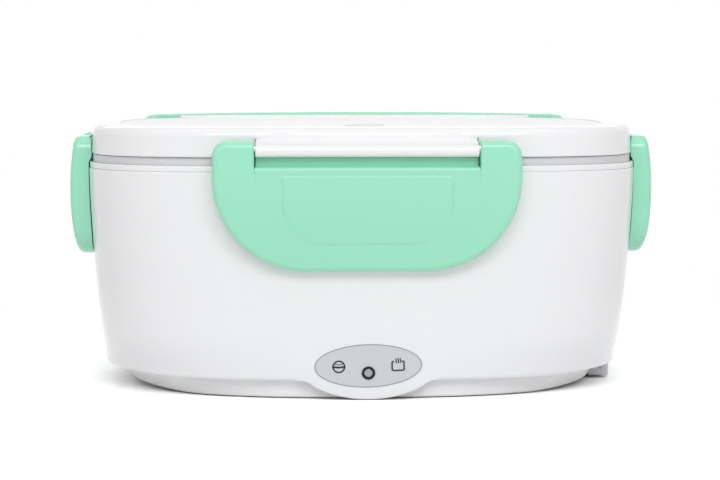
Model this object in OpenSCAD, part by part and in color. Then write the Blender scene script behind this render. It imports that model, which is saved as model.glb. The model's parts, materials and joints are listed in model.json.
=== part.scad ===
// Electric lunch box: a heated tub with a lift-off lid, four snap latches and a folding bail handle.
// The origin is on the surface that it stands on, under the middle. The front faces -Y.

/* [Body] */
// Width of the body at its top edge
body_w = 234; // [200:1:280]
// Depth of the body at its top edge
body_d = 168; // [150:1:200]
// Height of the top edge of the outer shell
body_top = 94; // [86:1:120]
// How much each side leans in towards the base, in width
taper_x = 7.2; // [3:0.2:9]
// How much the front and back lean in towards the base
taper_y = 4.6; // [2:0.2:6]
// Wall of the outer shell
shell_wall = 2.2; // [1.6:0.1:2.6]
// Height of the lower edge of the outer shell
shell_bottom = 8; // [7:0.5:10]
// Height of the rounding at the foot of the shell
round_h = 10; // [8:0.5:13]
// Squareness of the plan at the top: 2 is an ellipse
plan_square = 3.7; // [3.2:0.1:4.2]
// Squareness of the plan at the base
base_square = 3.3; // [3:0.1:3.7]

/* [Base] */
// Height of the rubber feet below the base cover
foot_h = 2; // [1.5:0.25:3]
// Radius of a rubber foot
foot_r = 6; // [4:0.5:8]
// Thickness of the base cover's floor
base_floor = 2.2; // [1.6:0.1:3]
// Step from the shell's lower edge in to the skirt
skirt_step = 0.6; // [0.2:0.1:2]

/* [Tub and container] */
// Distance from the body's edge to the tub's wall at the top
tub_inset = 15; // [14:0.5:18]
// Extra inset of the tub's wall at its floor
tub_draft = 5; // [3:0.5:7]
// Wall of the tub
tub_wall = 1.8; // [1.2:0.1:2.4]
// Height of the tub's floor, top face
tub_floor = 25; // [24:0.5:30]
// Thickness of the heating plate
plate_t = 3; // [2:0.5:4]
// Wall of the steel food container
container_wall = 1; // [0.8:0.1:1.4]
// Half width of the side tray
tray_half_w = 34; // [24:1:36]
// Clearance between the side tray's rim and the container's wall at its foot
tray_gap = 8.3; // [7:0.1:14]
// Height of the side tray
tray_h = 45; // [30:1:52]

/* [Lid] */
// Overhang of the lid over the body, each side
lid_over = 0.4; // [0.2:0.1:1.2]
// Gap between the body's collar and the lid's lower edge, filled by the liner's band
band_h = 3.4; // [2.5:0.1:4.5]
// Height of the lid cover
lid_h = 11.5; // [11:0.5:15]
// Width of the rounded border of the lid
lid_round = 11; // [9:0.5:12]
// Inset of the band under the lid
band_inset = 3; // [2.6:0.1:4]
// Radius of the vent's seat
vent_r = 8.6; // [7:0.1:10]
// Distance from the lid's front edge to the middle of the vent
vent_in = 26.4; // [25:0.2:38]

/* [Latches] */
// Half width of the front and rear latches
latch_half = 62.5; // [50:0.5:70]
// Half width of the lip between the shoulders, front and rear
lip_half = 46.2; // [36:0.2:48]
// Half width of the side latches
side_latch_half = 31; // [26:0.5:36]
// Half width of the lip between the shoulders, at the sides
side_lip_half = 17; // [12:0.5:18]
// Length of a latch below its pivot
latch_len = 49.9; // [42:0.1:56]
// Radius of the lower corners, front and rear
latch_corner = 38.7; // [28:0.1:42]
// Radius of the lower corners of the side latches
side_corner = 20; // [14:0.5:24]
// How far the latch bows out past the lid's edge
latch_bulge = 11; // [10:0.2:13]
// Wall of a latch
latch_wall = 2.4; // [1.8:0.1:3]
// Radius of the hinge pins
pin_r = 1.5; // [1.2:0.1:1.8]

/* [Handle] */
// Width of the handle strap
strap_w = 7; // [6:0.5:8]
// Height of the handle strap
strap_h = 6; // [4.5:0.5:6.5]
// Radius of the handle's pivot pins
handle_pin_r = 2; // [1.5:0.1:2.4]
// Distance of the handle's pivots behind the middle
handle_pivot_y = 12; // [10:1:20]

/* [Label and inlet] */
// Width of the oval label
label_w = 44; // [36:1:50]
// Height of the oval label
label_h = 18; // [14:1:20]
// Radius of the indicator's bezel
bezel_r = 2.5; // [2.2:0.1:3.5]
// Half width of the power inlet's housing
inlet_half = 14; // [12:0.5:18]
// Distance between the inlet's two pins
inlet_pitch = 8.6; // [7:0.2:10]

/* [Hidden] */
$fn = 48;

// Points in each ring of a lofted piece
ring_n = 64;
// Clearance between faces that meet inside one body
seat_gap = 0.1;
// Clearance between pieces that move past each other
move_gap = 0.3;
// Radial clearance of a hinge pin in the piece that turns on it
run_gap = 0.05;
// Radial clearance of a pin, stem or screw in the piece that holds it
hold_gap = 0.02;

white = "whitesmoke";
grey = "silver";
mint = "aquamarine";
metal = "lightgrey";

half_w = body_w / 2;
half_d = body_d / 2;
round_top = shell_bottom + round_h;
round_in_x = 8;
round_in_y = 4;
lean_power = 1.7;

// Where the wall has its rings, from the foot's rounding at 0 to the top edge at 1
wall_steps = [0, 0.055, 0.185, 0.37, 0.555, 0.765, 1];

// The collar, the band and the lid, upwards from the shell's top edge
collar_t = 2.5;
collar_top = body_top + collar_t;
lid_bottom = collar_top + band_h;
lid_top = lid_bottom + lid_h;
lid_a = half_w + lid_over;
lid_b = half_d + lid_over;
lid_wall = 2.2;
lid_straight = 3.5;
border_under = lid_bottom + 2;
border_in = 14;
panel_inset = 13.5;
panel_depth = 1.3;
deck_t = 1.7;

// Latches: the pivot stands off the lid's edge, level with the lip's fullest line
pivot_off = 3.9;
pivot_z = lid_bottom + 3.8;
lip_r = 3.6;
shoulder_r = 3.1;
pocket_r = 5.2;
latch_bow = 100;
latch_bottom = pivot_z - latch_len;
latch_mid = (latch_bottom + pivot_z) / 2 + 3;
notch_floor = collar_top;
shoulder_round = 6.2;
ledge_out = 0.9;
ledge_top = body_top - 3;
ledge_h = 3;
hook_h = 2.8;
hook_drop = 0.7;
pin_in_lip = 8;
pin_in_latch = 9;

// Handle: it lies around the back of the lid, behind a low white ridge
strap_a = lid_a - 8.4;
strap_b = lid_b - 4.1;
strap_bottom = border_under + 2.9;
handle_pivot_z = strap_bottom + strap_h / 2 - 0.3;
eye_r = 3.5;
rise_low = 2.4;
rise_high = 3.3;
rise_run = 30.3;
grip_raise = 1.5;
grip_bow = 0.6;
grip_half = strap_a - 25;
ridge_t = 2.8;
ridge_up = 1.7;

// Half widths of the opening in the tub's floor are this much less than the body's
hole_inset = 40;

// Front face: the label lies on a plane that leans with the shell's lower front
front_y = half_d - taper_y;
front_lean = atan(taper_y * lean_power / (body_top - round_top));
label_drop = 2.2;
apron_margin = 8.5;
apron_margin_z = 6.1;
apron_t = 2.4;
label_t = 0.5;
label_pocket = 0.4;
led_drop = 5.9;
lens_r = 1.75;
pipe_r = 1.5;
pipe_len = 7;

// Base cover: a tray whose side wall is the skirt under the shell
base_a = half_w - taper_x - round_in_x - skirt_step;
base_b = half_d - taper_y - round_in_y - skirt_step;
base_top = shell_bottom - 2 * seat_gap;
lip_inset = shell_wall + 0.6;
lip_t = 1.8;
lip_top = shell_bottom + 3.5;
post_x = half_w - hole_inset + 1;
post_y = half_d - hole_inset + 2;
post_r = 4;
screw_r = 1.4;
screw_head_r = 3.2;
screw_head_h = 1.3;
foot_x = base_a - 41.2;
foot_y = base_b - 19.8;
foot_stem_r = 2.4;

// Heater: blocks, sheet and clamp hang under the plate
plate_inset = 33;
plate_bottom = tub_floor + seat_gap;
plate_top = plate_bottom + plate_t;
block_w = 36;
block_d = 22;
block_h = 5;
block_x = 26;
mica_t = 0.5;
clamp_t = 1.2;
clamp_x = 54;
clamp_w = 14;
boss_r = 4;
block_bottom = plate_bottom - block_h;
clamp_top = block_bottom - mica_t;
stat_r = 8;
stat_h = 4.5;
stat_y = 26;
fuse_r = 2;
fuse_len = 18;
fuse_y = -26;

// Power inlet in the right side, under the shell's lower edge
inlet_face = half_w - taper_x - 5.2;
inlet_deep = 16;
inlet_back = inlet_face - inlet_deep;
inlet_low = foot_h + 0.4;
inlet_top = round_top + 3;
socket_half = 9;
socket_low = 7;
socket_high = 17;
socket_deep = 12;
inlet_pin_r = 1.2;
inlet_pin_z = (socket_low + socket_high) / 2;
cover_t = 1.8;
cover_pin_r = 0.8;
cover_eye_r = 1.6;
cover_x = inlet_face + 1.8;
cover_y = inlet_half + 0.6;

// Container and tray, inside the tub
container_low = plate_top + seat_gap;
flange_z = body_top + 2 * seat_gap;
flange_t = 1;
container_gap = 1.9;
container_in = tub_inset + tub_wall + container_gap + tub_draft + container_wall;
tray_half_d = half_d - container_in - tray_gap;
tray_x = half_w - container_in - tray_gap - tray_half_w;
tray_wall = 1.6;
tray_low = container_low + container_wall + seat_gap;

// Circuit board, upright behind the front of the base cover's skirt
board_y = -(half_d - taper_y - 9.4);
board_t = 1.6;
board_low = foot_h + base_floor + 1;
board_half = 20;
board_h = 14;

// Insulated leads from the inlet to the thermostat, the fuse, the heaters and the board
lead_r = 1.1;
stat_pin = plate_bottom - stat_h - 4;
fuse_z = plate_bottom - fuse_r - 1.4;
fuse_tip = fuse_len / 2 + 8;
pin_back = inlet_back - 2.2;
inlet_lead = [
    [pin_back, inlet_pitch / 2, inlet_pin_z], [pin_back - 4, inlet_pitch / 2, inlet_pin_z], [74, 12, 11],
    [60, 22, 9], [44, 26, 8], [28, 27, 8], [14, 27, 9], [6.4, 26.2, 10.4],
    [5, stat_y, stat_pin - 4], [5, stat_y, stat_pin]
];
fuse_lead = [
    [pin_back, -inlet_pitch / 2, inlet_pin_z], [pin_back - 4, -inlet_pitch / 2, inlet_pin_z], [74, -13, 10],
    [62, -22, 9], [50, -28, 10], [38, -29, 14], [30, -28, 19],
    [fuse_tip + 4, fuse_y, fuse_z], [fuse_tip, fuse_y, fuse_z]
];
board_lead = [
    [-5, stat_y, stat_pin], [-5, stat_y, stat_pin - 4], [-10, 26, 9], [-22, 22, 8], [-34, 10, 7.5],
    [-40, -8, 7.5], [-36, -30, 7.5], [-26, -46, 8.5], [-15, -56, 11],
    [-12, board_y + board_t + 8, 12], [-12, board_y + board_t + 3.9, 12]
];
heater_lead = [
    [-fuse_tip, fuse_y, fuse_z], [-fuse_tip - 4, fuse_y, fuse_z], [-26, -23, 21.6], [-30, -19, 22],
    [-block_x - 6, -block_d / 2 - 4, 22.5], [-block_x - 6, -block_d / 2, 22.5]
];

// Vent, handle and liner
vent_y = lid_b - vent_in;
seat_in = 5.6;
plug_r = 5.3;
liner_top = lid_top - panel_depth - deck_t - 1;
handle_gap = 0.6;
handle_pin_len = 9.6;

// Each latch: its turn, the lid edge's distance from the middle, its half width, lip and lower corners
latches = [
    [0, lid_b, latch_half, lip_half, latch_corner],
    [180, lid_b, latch_half, lip_half, latch_corner],
    [90, lid_a, side_latch_half, side_lip_half, side_corner],
    [270, lid_a, side_latch_half, side_lip_half, side_corner]
];

// Signed power, for the superellipse plan
function spow(v, n) = sign(v) * pow(abs(v), 2 / n);

// One ring of the plan: half width a, half depth b, squareness n, at height z
function ring(a, b, n, z) = [
    for (i = [0 : ring_n - 1])
        let (t = 360 * i / ring_n)
        [a * spow(cos(t), n), b * spow(sin(t), n), z]
];

// The plan alone, for a straight extrusion
function plan(a, b, n) = [for (p = ring(a, b, n, 0)) [p[0], p[1]]];

// Rings from a profile of [inset, height] pairs
function rings(profile, a, b, n) = [for (p = profile) ring(a - p[0], b - p[0], n, p[1])];

// How far the wall leans in at height z, 0 at the top edge and 1 at the foot's rounding
function lean(z) = pow(max(0, min(1, (body_top - z) / (body_top - round_top))), lean_power);
function square_at(z) =
    base_square + (plan_square - base_square) * (z - shell_bottom) / (body_top - shell_bottom);

// A ring of the shell: f is the angle round the foot's rounding, from 0 at its top to 90 below
function foot_ring(f, inset) = ring(
    half_w - taper_x - round_in_x * (1 - cos(f)) - inset,
    half_d - taper_y - round_in_y * (1 - cos(f)) - inset,
    square_at(round_top - round_h * sin(f)),
    round_top - round_h * sin(f)
);
function wall_ring(z, inset) = ring(
    half_w - taper_x * lean(z) - inset,
    half_d - taper_y * lean(z) - inset,
    square_at(z),
    z
);

// A smooth step from 0 to 1 as v goes from one value to another
function unit(v, from, to) = max(0, min(1, (v - from) / (to - from)));
function smooth(v, from, to) = let (u = unit(v, from, to)) u * u * (3 - 2 * u);

// Ellipse outline
function oval(a, b, count = 64) = [
    for (i = [0 : count - 1])
        [a * cos(360 * i / count), b * sin(360 * i / count)]
];

// Skin over rings of equal count: outer walls run upwards in the list and inner walls downwards
module loft(list, looped = false) {
    rows = len(list);
    count = len(list[0]);
    last = looped ? rows - 1 : rows - 2;
    points = [for (r = list) each r];
    sides = [
        for (r = [0 : last])
            for (i = [0 : count - 1])
                let (j = (i + 1) % count, s = (r + 1) % rows)
                each [
                    [r * count + i, s * count + i, s * count + j],
                    [r * count + i, s * count + j, r * count + j]
                ]
    ];
    caps = looped ? [] : [
        [for (i = [0 : count - 1]) i],
        [for (i = [0 : count - 1]) rows * count - 1 - i]
    ];
    polyhedron(points = points, faces = concat(sides, caps), convexity = 8);
}

// A round tube along points, with one ring square to the path at each
function tube_dir(path, i) =
    let (a = path[max(0, i - 1)], b = path[min(len(path) - 1, i + 1)])
    (b - a) / norm(b - a);
function tube_ring(path, i, r, sides) =
    let (
        d = tube_dir(path, i),
        ref = abs(d[2]) > 0.9 ? [1, 0, 0] : [0, 0, 1],
        u = cross(ref, d) / norm(cross(ref, d)),
        v = cross(d, u)
    )
    [for (k = [0 : sides - 1]) path[i] + r * (cos(360 * k / sides) * u + sin(360 * k / sides) * v)];
module tube(path, r, sides = 8) {
    loft([for (i = [0 : len(path) - 1]) tube_ring(path, i, r, sides)]);
}

// Places children on the lower front face: X along the face, Y up it, Z straight out of it
module on_front() {
    translate([0, -front_y, round_top])
        rotate([90 + front_lean, 0, 0])
            children();
}

// Copies children to the four corners at plus and minus x and y
module at_corners(x, y) {
    for (sx = [-1, 1])
        for (sy = [-1, 1])
            translate([sx * x, sy * y, 0])
                children();
}

// Turns a piece that is drawn facing the front to each side: 0 front, 90 right, 180 rear, 270 left
module facing(turn) {
    rotate([0, 0, turn])
        children();
}

// A bar along X, from a profile whose X is the distance out to the front and whose Y is the height
module front_bar(half) {
    rotate([90, 0, -90])
        linear_extrude(height = 2 * half, center = true)
            children();
}

// A plate across the front, from an outline in width and height, between two distances out
module front_plate(near, far) {
    translate([0, -near, 0])
        rotate([90, 0, 0])
            linear_extrude(height = far - near)
                children();
}

module outer_shell() {
    steps = [90, 72, 54, 36, 18];
    heights = [for (u = wall_steps) round_top + u * (body_top - round_top)];
    outer = concat([for (f = steps) foot_ring(f, 0)], [for (z = heights) wall_ring(z, 0)]);
    inner = concat([for (z = heights) wall_ring(z, shell_wall)]);
    foot = [for (f = steps) foot_ring(f, shell_wall)];
    down = concat(
        [for (i = [len(inner) - 1 : -1 : 0]) inner[i]],
        [for (i = [len(foot) - 1 : -1 : 0]) foot[i]]
    );
    color(white)
        difference() {
            union() {
                loft(concat(outer, down), looped = true);
                on_front()
                    translate([0, -label_drop, -apron_t])
                        linear_extrude(height = apron_t)
                            polygon(oval(label_w / 2 + apron_margin, label_h / 2 + apron_margin_z));
                for (turn = [0, 180])
                    facing(turn)
                        ledge(lid_b, lip_half / 2);
                for (turn = [90, 270])
                    facing(turn)
                        ledge(lid_a, side_lip_half / 2);
            }
            on_front()
                translate([0, -label_drop, -label_pocket])
                    linear_extrude(height = 2)
                        polygon(oval(label_w / 2 + seat_gap, label_h / 2 + seat_gap));
            on_front()
                translate([0, -led_drop, -8])
                    cylinder(r = lens_r + 0.5 + seat_gap, h = 10);
            translate([inlet_back, -inlet_half - 2 * move_gap, 0])
                cube([40, 2 * inlet_half + 8 * move_gap + cover_eye_r, inlet_top + move_gap]);
        }
}

// The ledge that a latch's hook catches under, at a lid edge this far from the middle
module ledge(edge, half) {
    translate([-half, -(edge + ledge_out), ledge_top - ledge_h])
        cube([2 * half, ledge_out + lid_over + shell_wall / 2, ledge_h]);
}

module tub_collar() {
    profile = [
        [4.5, body_top - 4], [2.5, body_top - 4], [2.5, body_top + seat_gap / 2],
        [0.4, body_top + seat_gap / 2], [0.4, collar_top - 0.6], [1, collar_top],
        [12, collar_top], [12, body_top + seat_gap / 2], [4.5, body_top + seat_gap / 2]
    ];
    color(white)
        loft(rings(profile, half_w, half_d, plan_square), looped = true);
}

module inner_tub() {
    low = tub_inset + tub_draft;
    profile = [
        [hole_inset, tub_floor - 2], [low + 8, tub_floor - 2], [low, tub_floor + 3],
        [tub_inset, body_top - 1.8], [9, body_top - 1.8], [9, body_top],
        [tub_inset + tub_wall, body_top], [low + tub_wall, tub_floor + 4],
        [low + 9, tub_floor], [hole_inset, tub_floor]
    ];
    color(white)
        difference() {
            union() {
                loft(rings(profile, half_w, half_d, plan_square), looped = true);
                at_corners(post_x, post_y)
                    translate([0, 0, foot_h + base_floor + seat_gap])
                        cylinder(r = post_r, h = tub_floor - 1 - foot_h - base_floor);
            }
            at_corners(post_x, post_y)
                cylinder(r = screw_r + hold_gap, h = tub_floor - 5);
        }
}

module heating_plate() {
    color(metal)
        difference() {
            union() {
                translate([0, 0, plate_bottom])
                    linear_extrude(height = plate_t)
                        polygon(plan(half_w - plate_inset, half_d - plate_inset, plan_square));
                for (s = [-1, 1])
                    translate([s * clamp_x, 0, clamp_top])
                        cylinder(r = boss_r, h = plate_bottom - clamp_top);
            }
            for (s = [-1, 1])
                translate([s * clamp_x, 0, clamp_top - 1])
                    cylinder(r = screw_r + hold_gap, h = block_h + 2);
        }
}

module ptc_heaters() {
    color("dimgray")
        for (s = [-1, 1])
            translate([s * block_x - block_w / 2, -block_d / 2, block_bottom])
                cube([block_w, block_d, block_h]);
}

module mica_sheet() {
    color("khaki")
        translate([-block_x - block_w / 2 - 1, -block_d / 2 - 1, clamp_top])
            cube([2 * block_x + block_w + 2, block_d + 2, mica_t]);
}

module heater_clamp() {
    color("gray")
        difference() {
            translate([-clamp_x - 7, -clamp_w / 2, clamp_top - clamp_t])
                cube([2 * clamp_x + 14, clamp_w, clamp_t]);
            for (s = [-1, 1])
                translate([s * clamp_x, 0, clamp_top - clamp_t - 1])
                    cylinder(r = screw_r + hold_gap, h = clamp_t + 2);
        }
}

module clamp_screws() {
    color("gray")
        for (s = [-1, 1])
            translate([s * clamp_x, 0, clamp_top - clamp_t])
                screw(block_h + clamp_t - 0.5);
}

// A pan-head screw that points up, with its head below z = 0 and a cross recess
module screw(length) {
    difference() {
        union() {
            translate([0, 0, -1.8])
                cylinder(r = 2.8, h = 1.8);
            cylinder(r = screw_r, h = length);
        }
        translate([-1.6, -0.35, -2.5])
            cube([3.2, 0.7, 1.6]);
        translate([-0.35, -1.6, -2.5])
            cube([0.7, 3.2, 1.6]);
    }
}

module thermostat() {
    color("black")
        translate([0, stat_y, plate_bottom - stat_h]) {
            cylinder(r = stat_r, h = stat_h);
            for (s = [-1, 1])
                translate([s * 5 - 1.5, -0.8, -4])
                    cube([3, 1.6, 4.5]);
        }
}

module thermal_fuse() {
    color("tan")
        translate([0, fuse_y, fuse_z]) {
            rotate([0, 90, 0])
                cylinder(r = fuse_r, h = fuse_len, center = true);
            rotate([0, 90, 0])
                cylinder(r = 0.5, h = fuse_len + 16, center = true);
            translate([-1.5, -5, fuse_r - 0.4])
                cube([3, 10, 1.8]);
        }
}

module circuit_board() {
    color("darkgreen") {
        translate([-board_half, board_y, board_low])
            cube([2 * board_half, board_t, board_h]);
        translate([0, board_y + 0.1, round_top - led_drop - 0.6])
            rotate([90, 0, 0])
                cylinder(r = 2.4, h = 1.6);
        for (s = [-1, 1])
            translate([s * 12 - 3, board_y + board_t - 0.1, board_low + 4])
                cube([6, 4, 5]);
    }
}

module internal_wires() {
    color("firebrick") {
        tube(inlet_lead, lead_r);
        tube(fuse_lead, lead_r);
        tube(board_lead, lead_r);
        tube(heater_lead, lead_r);
    }
}

module indicator_label() {
    color(grey)
        difference() {
            on_front()
                translate([0, -label_drop, -label_pocket + seat_gap / 2])
                    linear_extrude(height = label_t)
                        polygon(oval(label_w / 2, label_h / 2));
            on_front()
                translate([0, -led_drop, -4])
                    cylinder(r = lens_r + 0.5 + seat_gap, h = 8);
        }
}

module led_bezel() {
    flange_low = label_t - label_pocket + seat_gap;
    color("black")
        on_front()
            translate([0, -led_drop, 0])
                difference() {
                    union() {
                        translate([0, 0, flange_low])
                            cylinder(r = bezel_r, h = 0.5);
                        translate([0, 0, -4])
                            cylinder(r = lens_r + 0.5, h = 4 + flange_low + 0.1);
                    }
                    translate([0, 0, -6])
                        cylinder(r = lens_r + hold_gap, h = 8);
                }
}

module led_lens() {
    color("gainsboro")
        on_front()
            translate([0, -led_drop, 0]) {
                translate([0, 0, -2])
                    cylinder(r = lens_r, h = 2.6);
                translate([0, 0, -pipe_len])
                    cylinder(r = pipe_r, h = pipe_len);
            }
}

module base_cover() {
    floor_top = foot_h + base_floor;
    profile = [
        [2.4, foot_h], [1.1, foot_h + 0.4], [0.3, foot_h + 1.3], [0, foot_h + 2.6],
        [0, base_top], [lip_inset, base_top], [lip_inset, lip_top],
        [lip_inset + lip_t, lip_top], [lip_inset + lip_t, floor_top]
    ];
    color(white)
        difference() {
            union() {
                loft(rings(profile, base_a, base_b, base_square));
                for (s = [-1, 1])
                    translate([s * 17 - 1.5, board_y + board_t, floor_top - 0.2])
                        cube([3, 3, 10]);
            }
            at_corners(post_x, post_y) {
                translate([0, 0, foot_h - 1])
                    cylinder(r = screw_r + 2 * seat_gap, h = base_floor + 2);
                translate([0, 0, foot_h - 1])
                    cylinder(r = screw_head_r + seat_gap, h = 1 + screw_head_h + seat_gap);
            }
            at_corners(foot_x, foot_y)
                translate([0, 0, foot_h - 1])
                    cylinder(r = foot_stem_r + hold_gap, h = base_floor + 2);
            translate([inlet_back - move_gap, -inlet_half - move_gap, foot_h - 1])
                cube([40, 2 * inlet_half + 5 * move_gap + cover_eye_r, 20]);
            translate([-4, -base_b, shell_bottom + 0.6])
                cube([8, 8, 6]);
        }
}

module base_screws() {
    head_low = foot_h + seat_gap / 2;
    color("gray")
        at_corners(post_x, post_y)
            difference() {
                union() {
                    translate([0, 0, head_low])
                        cylinder(r = screw_head_r, h = screw_head_h);
                    translate([0, 0, head_low])
                        cylinder(r = screw_r, h = 14);
                }
                translate([-1.6, -0.35, head_low - 1])
                    cube([3.2, 0.7, 1.7]);
                translate([-0.35, -1.6, head_low - 1])
                    cube([0.7, 3.2, 1.7]);
            }
}

module rubber_feet() {
    color("darkgray")
        at_corners(foot_x, foot_y) {
            rotate_extrude()
                polygon([[0, 0], [foot_r - 0.8, 0], [foot_r, 0.8], [foot_r, foot_h], [0, foot_h]]);
            cylinder(r = foot_stem_r, h = foot_h + base_floor + 1.2);
        }
}

module inlet_housing() {
    color("dimgray")
        difference() {
            union() {
                translate([inlet_back, -inlet_half, inlet_low])
                    cube([inlet_face - inlet_back, 2 * inlet_half, inlet_top - inlet_low]);
                for (z = [inlet_low, inlet_top - 3])
                    translate([inlet_face - 4, cover_y - cover_eye_r, z])
                        cube([cover_x - inlet_face + 4, 2 * cover_eye_r, 3]);
                for (z = [inlet_low, inlet_top - 3])
                    translate([cover_x, cover_y, z])
                        cylinder(r = cover_eye_r, h = 3);
            }
            translate([inlet_face - socket_deep, -socket_half, socket_low])
                cube([socket_deep + 1, 2 * socket_half, socket_high - socket_low]);
            for (s = [-1, 1])
                translate([inlet_back - 1, s * inlet_pitch / 2, inlet_pin_z])
                    rotate([0, 90, 0])
                        cylinder(r = inlet_pin_r + hold_gap, h = 8);
            translate([cover_x, cover_y, inlet_low - 1])
                cylinder(r = cover_pin_r + hold_gap, h = 30);
        }
}

module inlet_pins() {
    color("gold")
        for (s = [-1, 1])
            translate([pin_back, s * inlet_pitch / 2, inlet_pin_z])
                rotate([0, 90, 0])
                    cylinder(r = inlet_pin_r, h = socket_deep + 4);
}

module inlet_cover() {
    low = inlet_low + 3 + move_gap;
    high = inlet_top - 3 - move_gap;
    cover_end = cover_y - cover_eye_r;
    color(grey)
        difference() {
            union() {
                difference() {
                    translate([inlet_face + move_gap, -inlet_half + 1, inlet_low])
                        cube([cover_t, cover_end - move_gap + inlet_half - 1, inlet_top - inlet_low]);
                    translate([inlet_face - 1, -inlet_half - 1, inlet_low - 1])
                        rotate([0, 45, 0])
                            cube([2.4, 4 * inlet_half, 5], center = true);
                }
                translate([cover_x, cover_y, low])
                    cylinder(r = cover_eye_r, h = high - low);
                translate([inlet_face + move_gap, cover_end - 1, low])
                    cube([cover_t, 2.6, high - low]);
                translate([inlet_face - 2, -socket_half + 1, socket_low + 1])
                    cube([2.5, 2 * socket_half - 2, socket_high - socket_low - 2]);
            }
            translate([cover_x, cover_y, inlet_low])
                cylinder(r = cover_pin_r + run_gap, h = 30);
        }
}

module inlet_hinge_pin() {
    color("gray")
        translate([cover_x, cover_y, inlet_low + 0.2])
            cylinder(r = cover_pin_r, h = inlet_top - inlet_low - 0.4);
}

module food_container() {
    top_in = tub_inset + tub_wall + container_gap;
    low_in = top_in + tub_draft;
    profile = [
        [low_in + 7, container_low], [low_in + 2, container_low + 2], [low_in, container_low + 7],
        [top_in, flange_z], [12.6, flange_z], [12.6, flange_z + flange_t],
        [top_in + container_wall, flange_z + flange_t],
        [low_in + container_wall, container_low + 7], [low_in + container_wall + 2, container_low + 2.6],
        [low_in + container_wall + 6, container_low + container_wall]
    ];
    color(metal)
        loft(rings(profile, half_w, half_d, plan_square));
}

module side_tray() {
    profile = [
        [8, tray_low], [4, tray_low + 1.2], [2.4, tray_low + 5], [1.6, tray_low + tray_h - 2],
        [0, tray_low + tray_h - 2], [0, tray_low + tray_h], [1.6 + tray_wall, tray_low + tray_h],
        [2.4 + tray_wall, tray_low + 6], [5 + tray_wall, tray_low + tray_wall]
    ];
    color(white)
        translate([tray_x, 0, 0])
            loft(rings(profile, tray_half_w, tray_half_d, 4));
}

// The lip between a latch's shoulders: a barrel round the pivot that blends up into the lid
module lip_profile(edge) {
    translate([edge + pivot_off, pivot_z])
        circle(r = lip_r);
    polygon([
        [edge + pivot_off, pivot_z + lip_r], [edge - 3.5, lid_bottom + 9.9], [edge - 6, lid_bottom + 9.9],
        [edge - 6, border_under + 1], [edge - 1, border_under + 0.5], [edge - 1, pivot_z - lip_r],
        [edge + pivot_off, pivot_z - lip_r]
    ]);
}

// Room in the lid's edge for a latch's shoulders to turn in, and holes for its pins
module shoulder_room(edge, half, lip) {
    for (s = [-1, 1]) {
        translate([s * (lip + half + 1) / 2, -(edge + pivot_off), pivot_z])
            rotate([0, 90, 0])
                cylinder(r = pocket_r, h = half + 1 - lip, center = true);
        translate([s * (lip - pin_in_lip / 2), -(edge + pivot_off), pivot_z])
            rotate([0, 90, 0])
                cylinder(r = pin_r + hold_gap, h = pin_in_lip + 1, center = true);
    }
}

// The handle's path lies around the back of the lid. Its steps crowd at the sides, where it runs straight
strap_steps = concat([2.2, 6], [for (t = [12 : 6 : 168]) t], [174, 177.8]);
function strap_point(t) = [strap_a * spow(cos(t), plan_square), strap_b * spow(sin(t), plan_square)];
function strap_normal(t) =
    let (
        n = plan_square - 1,
        p = strap_point(t),
        g = [sign(p[0]) * pow(abs(p[0]) / strap_a, n) / strap_a, pow(p[1] / strap_b, n) / strap_b]
    )
    g / norm(g);
function strap_ring(t, grow, open_up) =
    let (
        p = strap_point(t),
        m = strap_normal(t),
        up = smooth(p[1], strap_b - rise_run, strap_b - strap_h),
        mid = smooth(-abs(p[0]), -grip_half - strap_h, -grip_half + 2),
        low = strap_bottom + rise_low * up + grip_raise * mid - grow,
        bow = grip_bow * mid * (1 - pow(p[0] / grip_half, 2)),
        high = strap_bottom + strap_h + rise_high * up + bow + open_up,
        w = strap_w / 2 + grow,
        c = 1.4,
        right = [[w - c, low], [w, low + c], [w, high - c], [w - c, high]],
        section = concat(right, [for (i = [3 : -1 : 0]) [-right[i][0], right[i][1]]])
    )
    [for (q = section) [p[0] + m[0] * q[0], p[1] + m[1] * q[0], q[1]]];

// The white ridge stands along the inner edge of the handle's groove
function ridge_ring(t) =
    let (
        p = strap_point(t),
        m = strap_normal(t),
        far = strap_w / 2 + handle_gap,
        foot = lid_top - 2,
        top = lid_top + ridge_up,
        section = [[-far - ridge_t, foot], [-far + 0.3, foot], [-far + 0.3, top], [-far - ridge_t, top]]
    )
    [for (q = section) [p[0] + m[0] * q[0], p[1] + m[1] * q[0], q[1]]];

module strap(grow, open_up) {
    loft([for (i = [len(strap_steps) - 1 : -1 : 0]) strap_ring(strap_steps[i], grow, open_up)]);
}

module at_handle_pivots() {
    for (s = [-1, 1])
        translate([s * strap_a, handle_pivot_y, handle_pivot_z])
            rotate([0, 90, 0])
                children();
}

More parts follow.
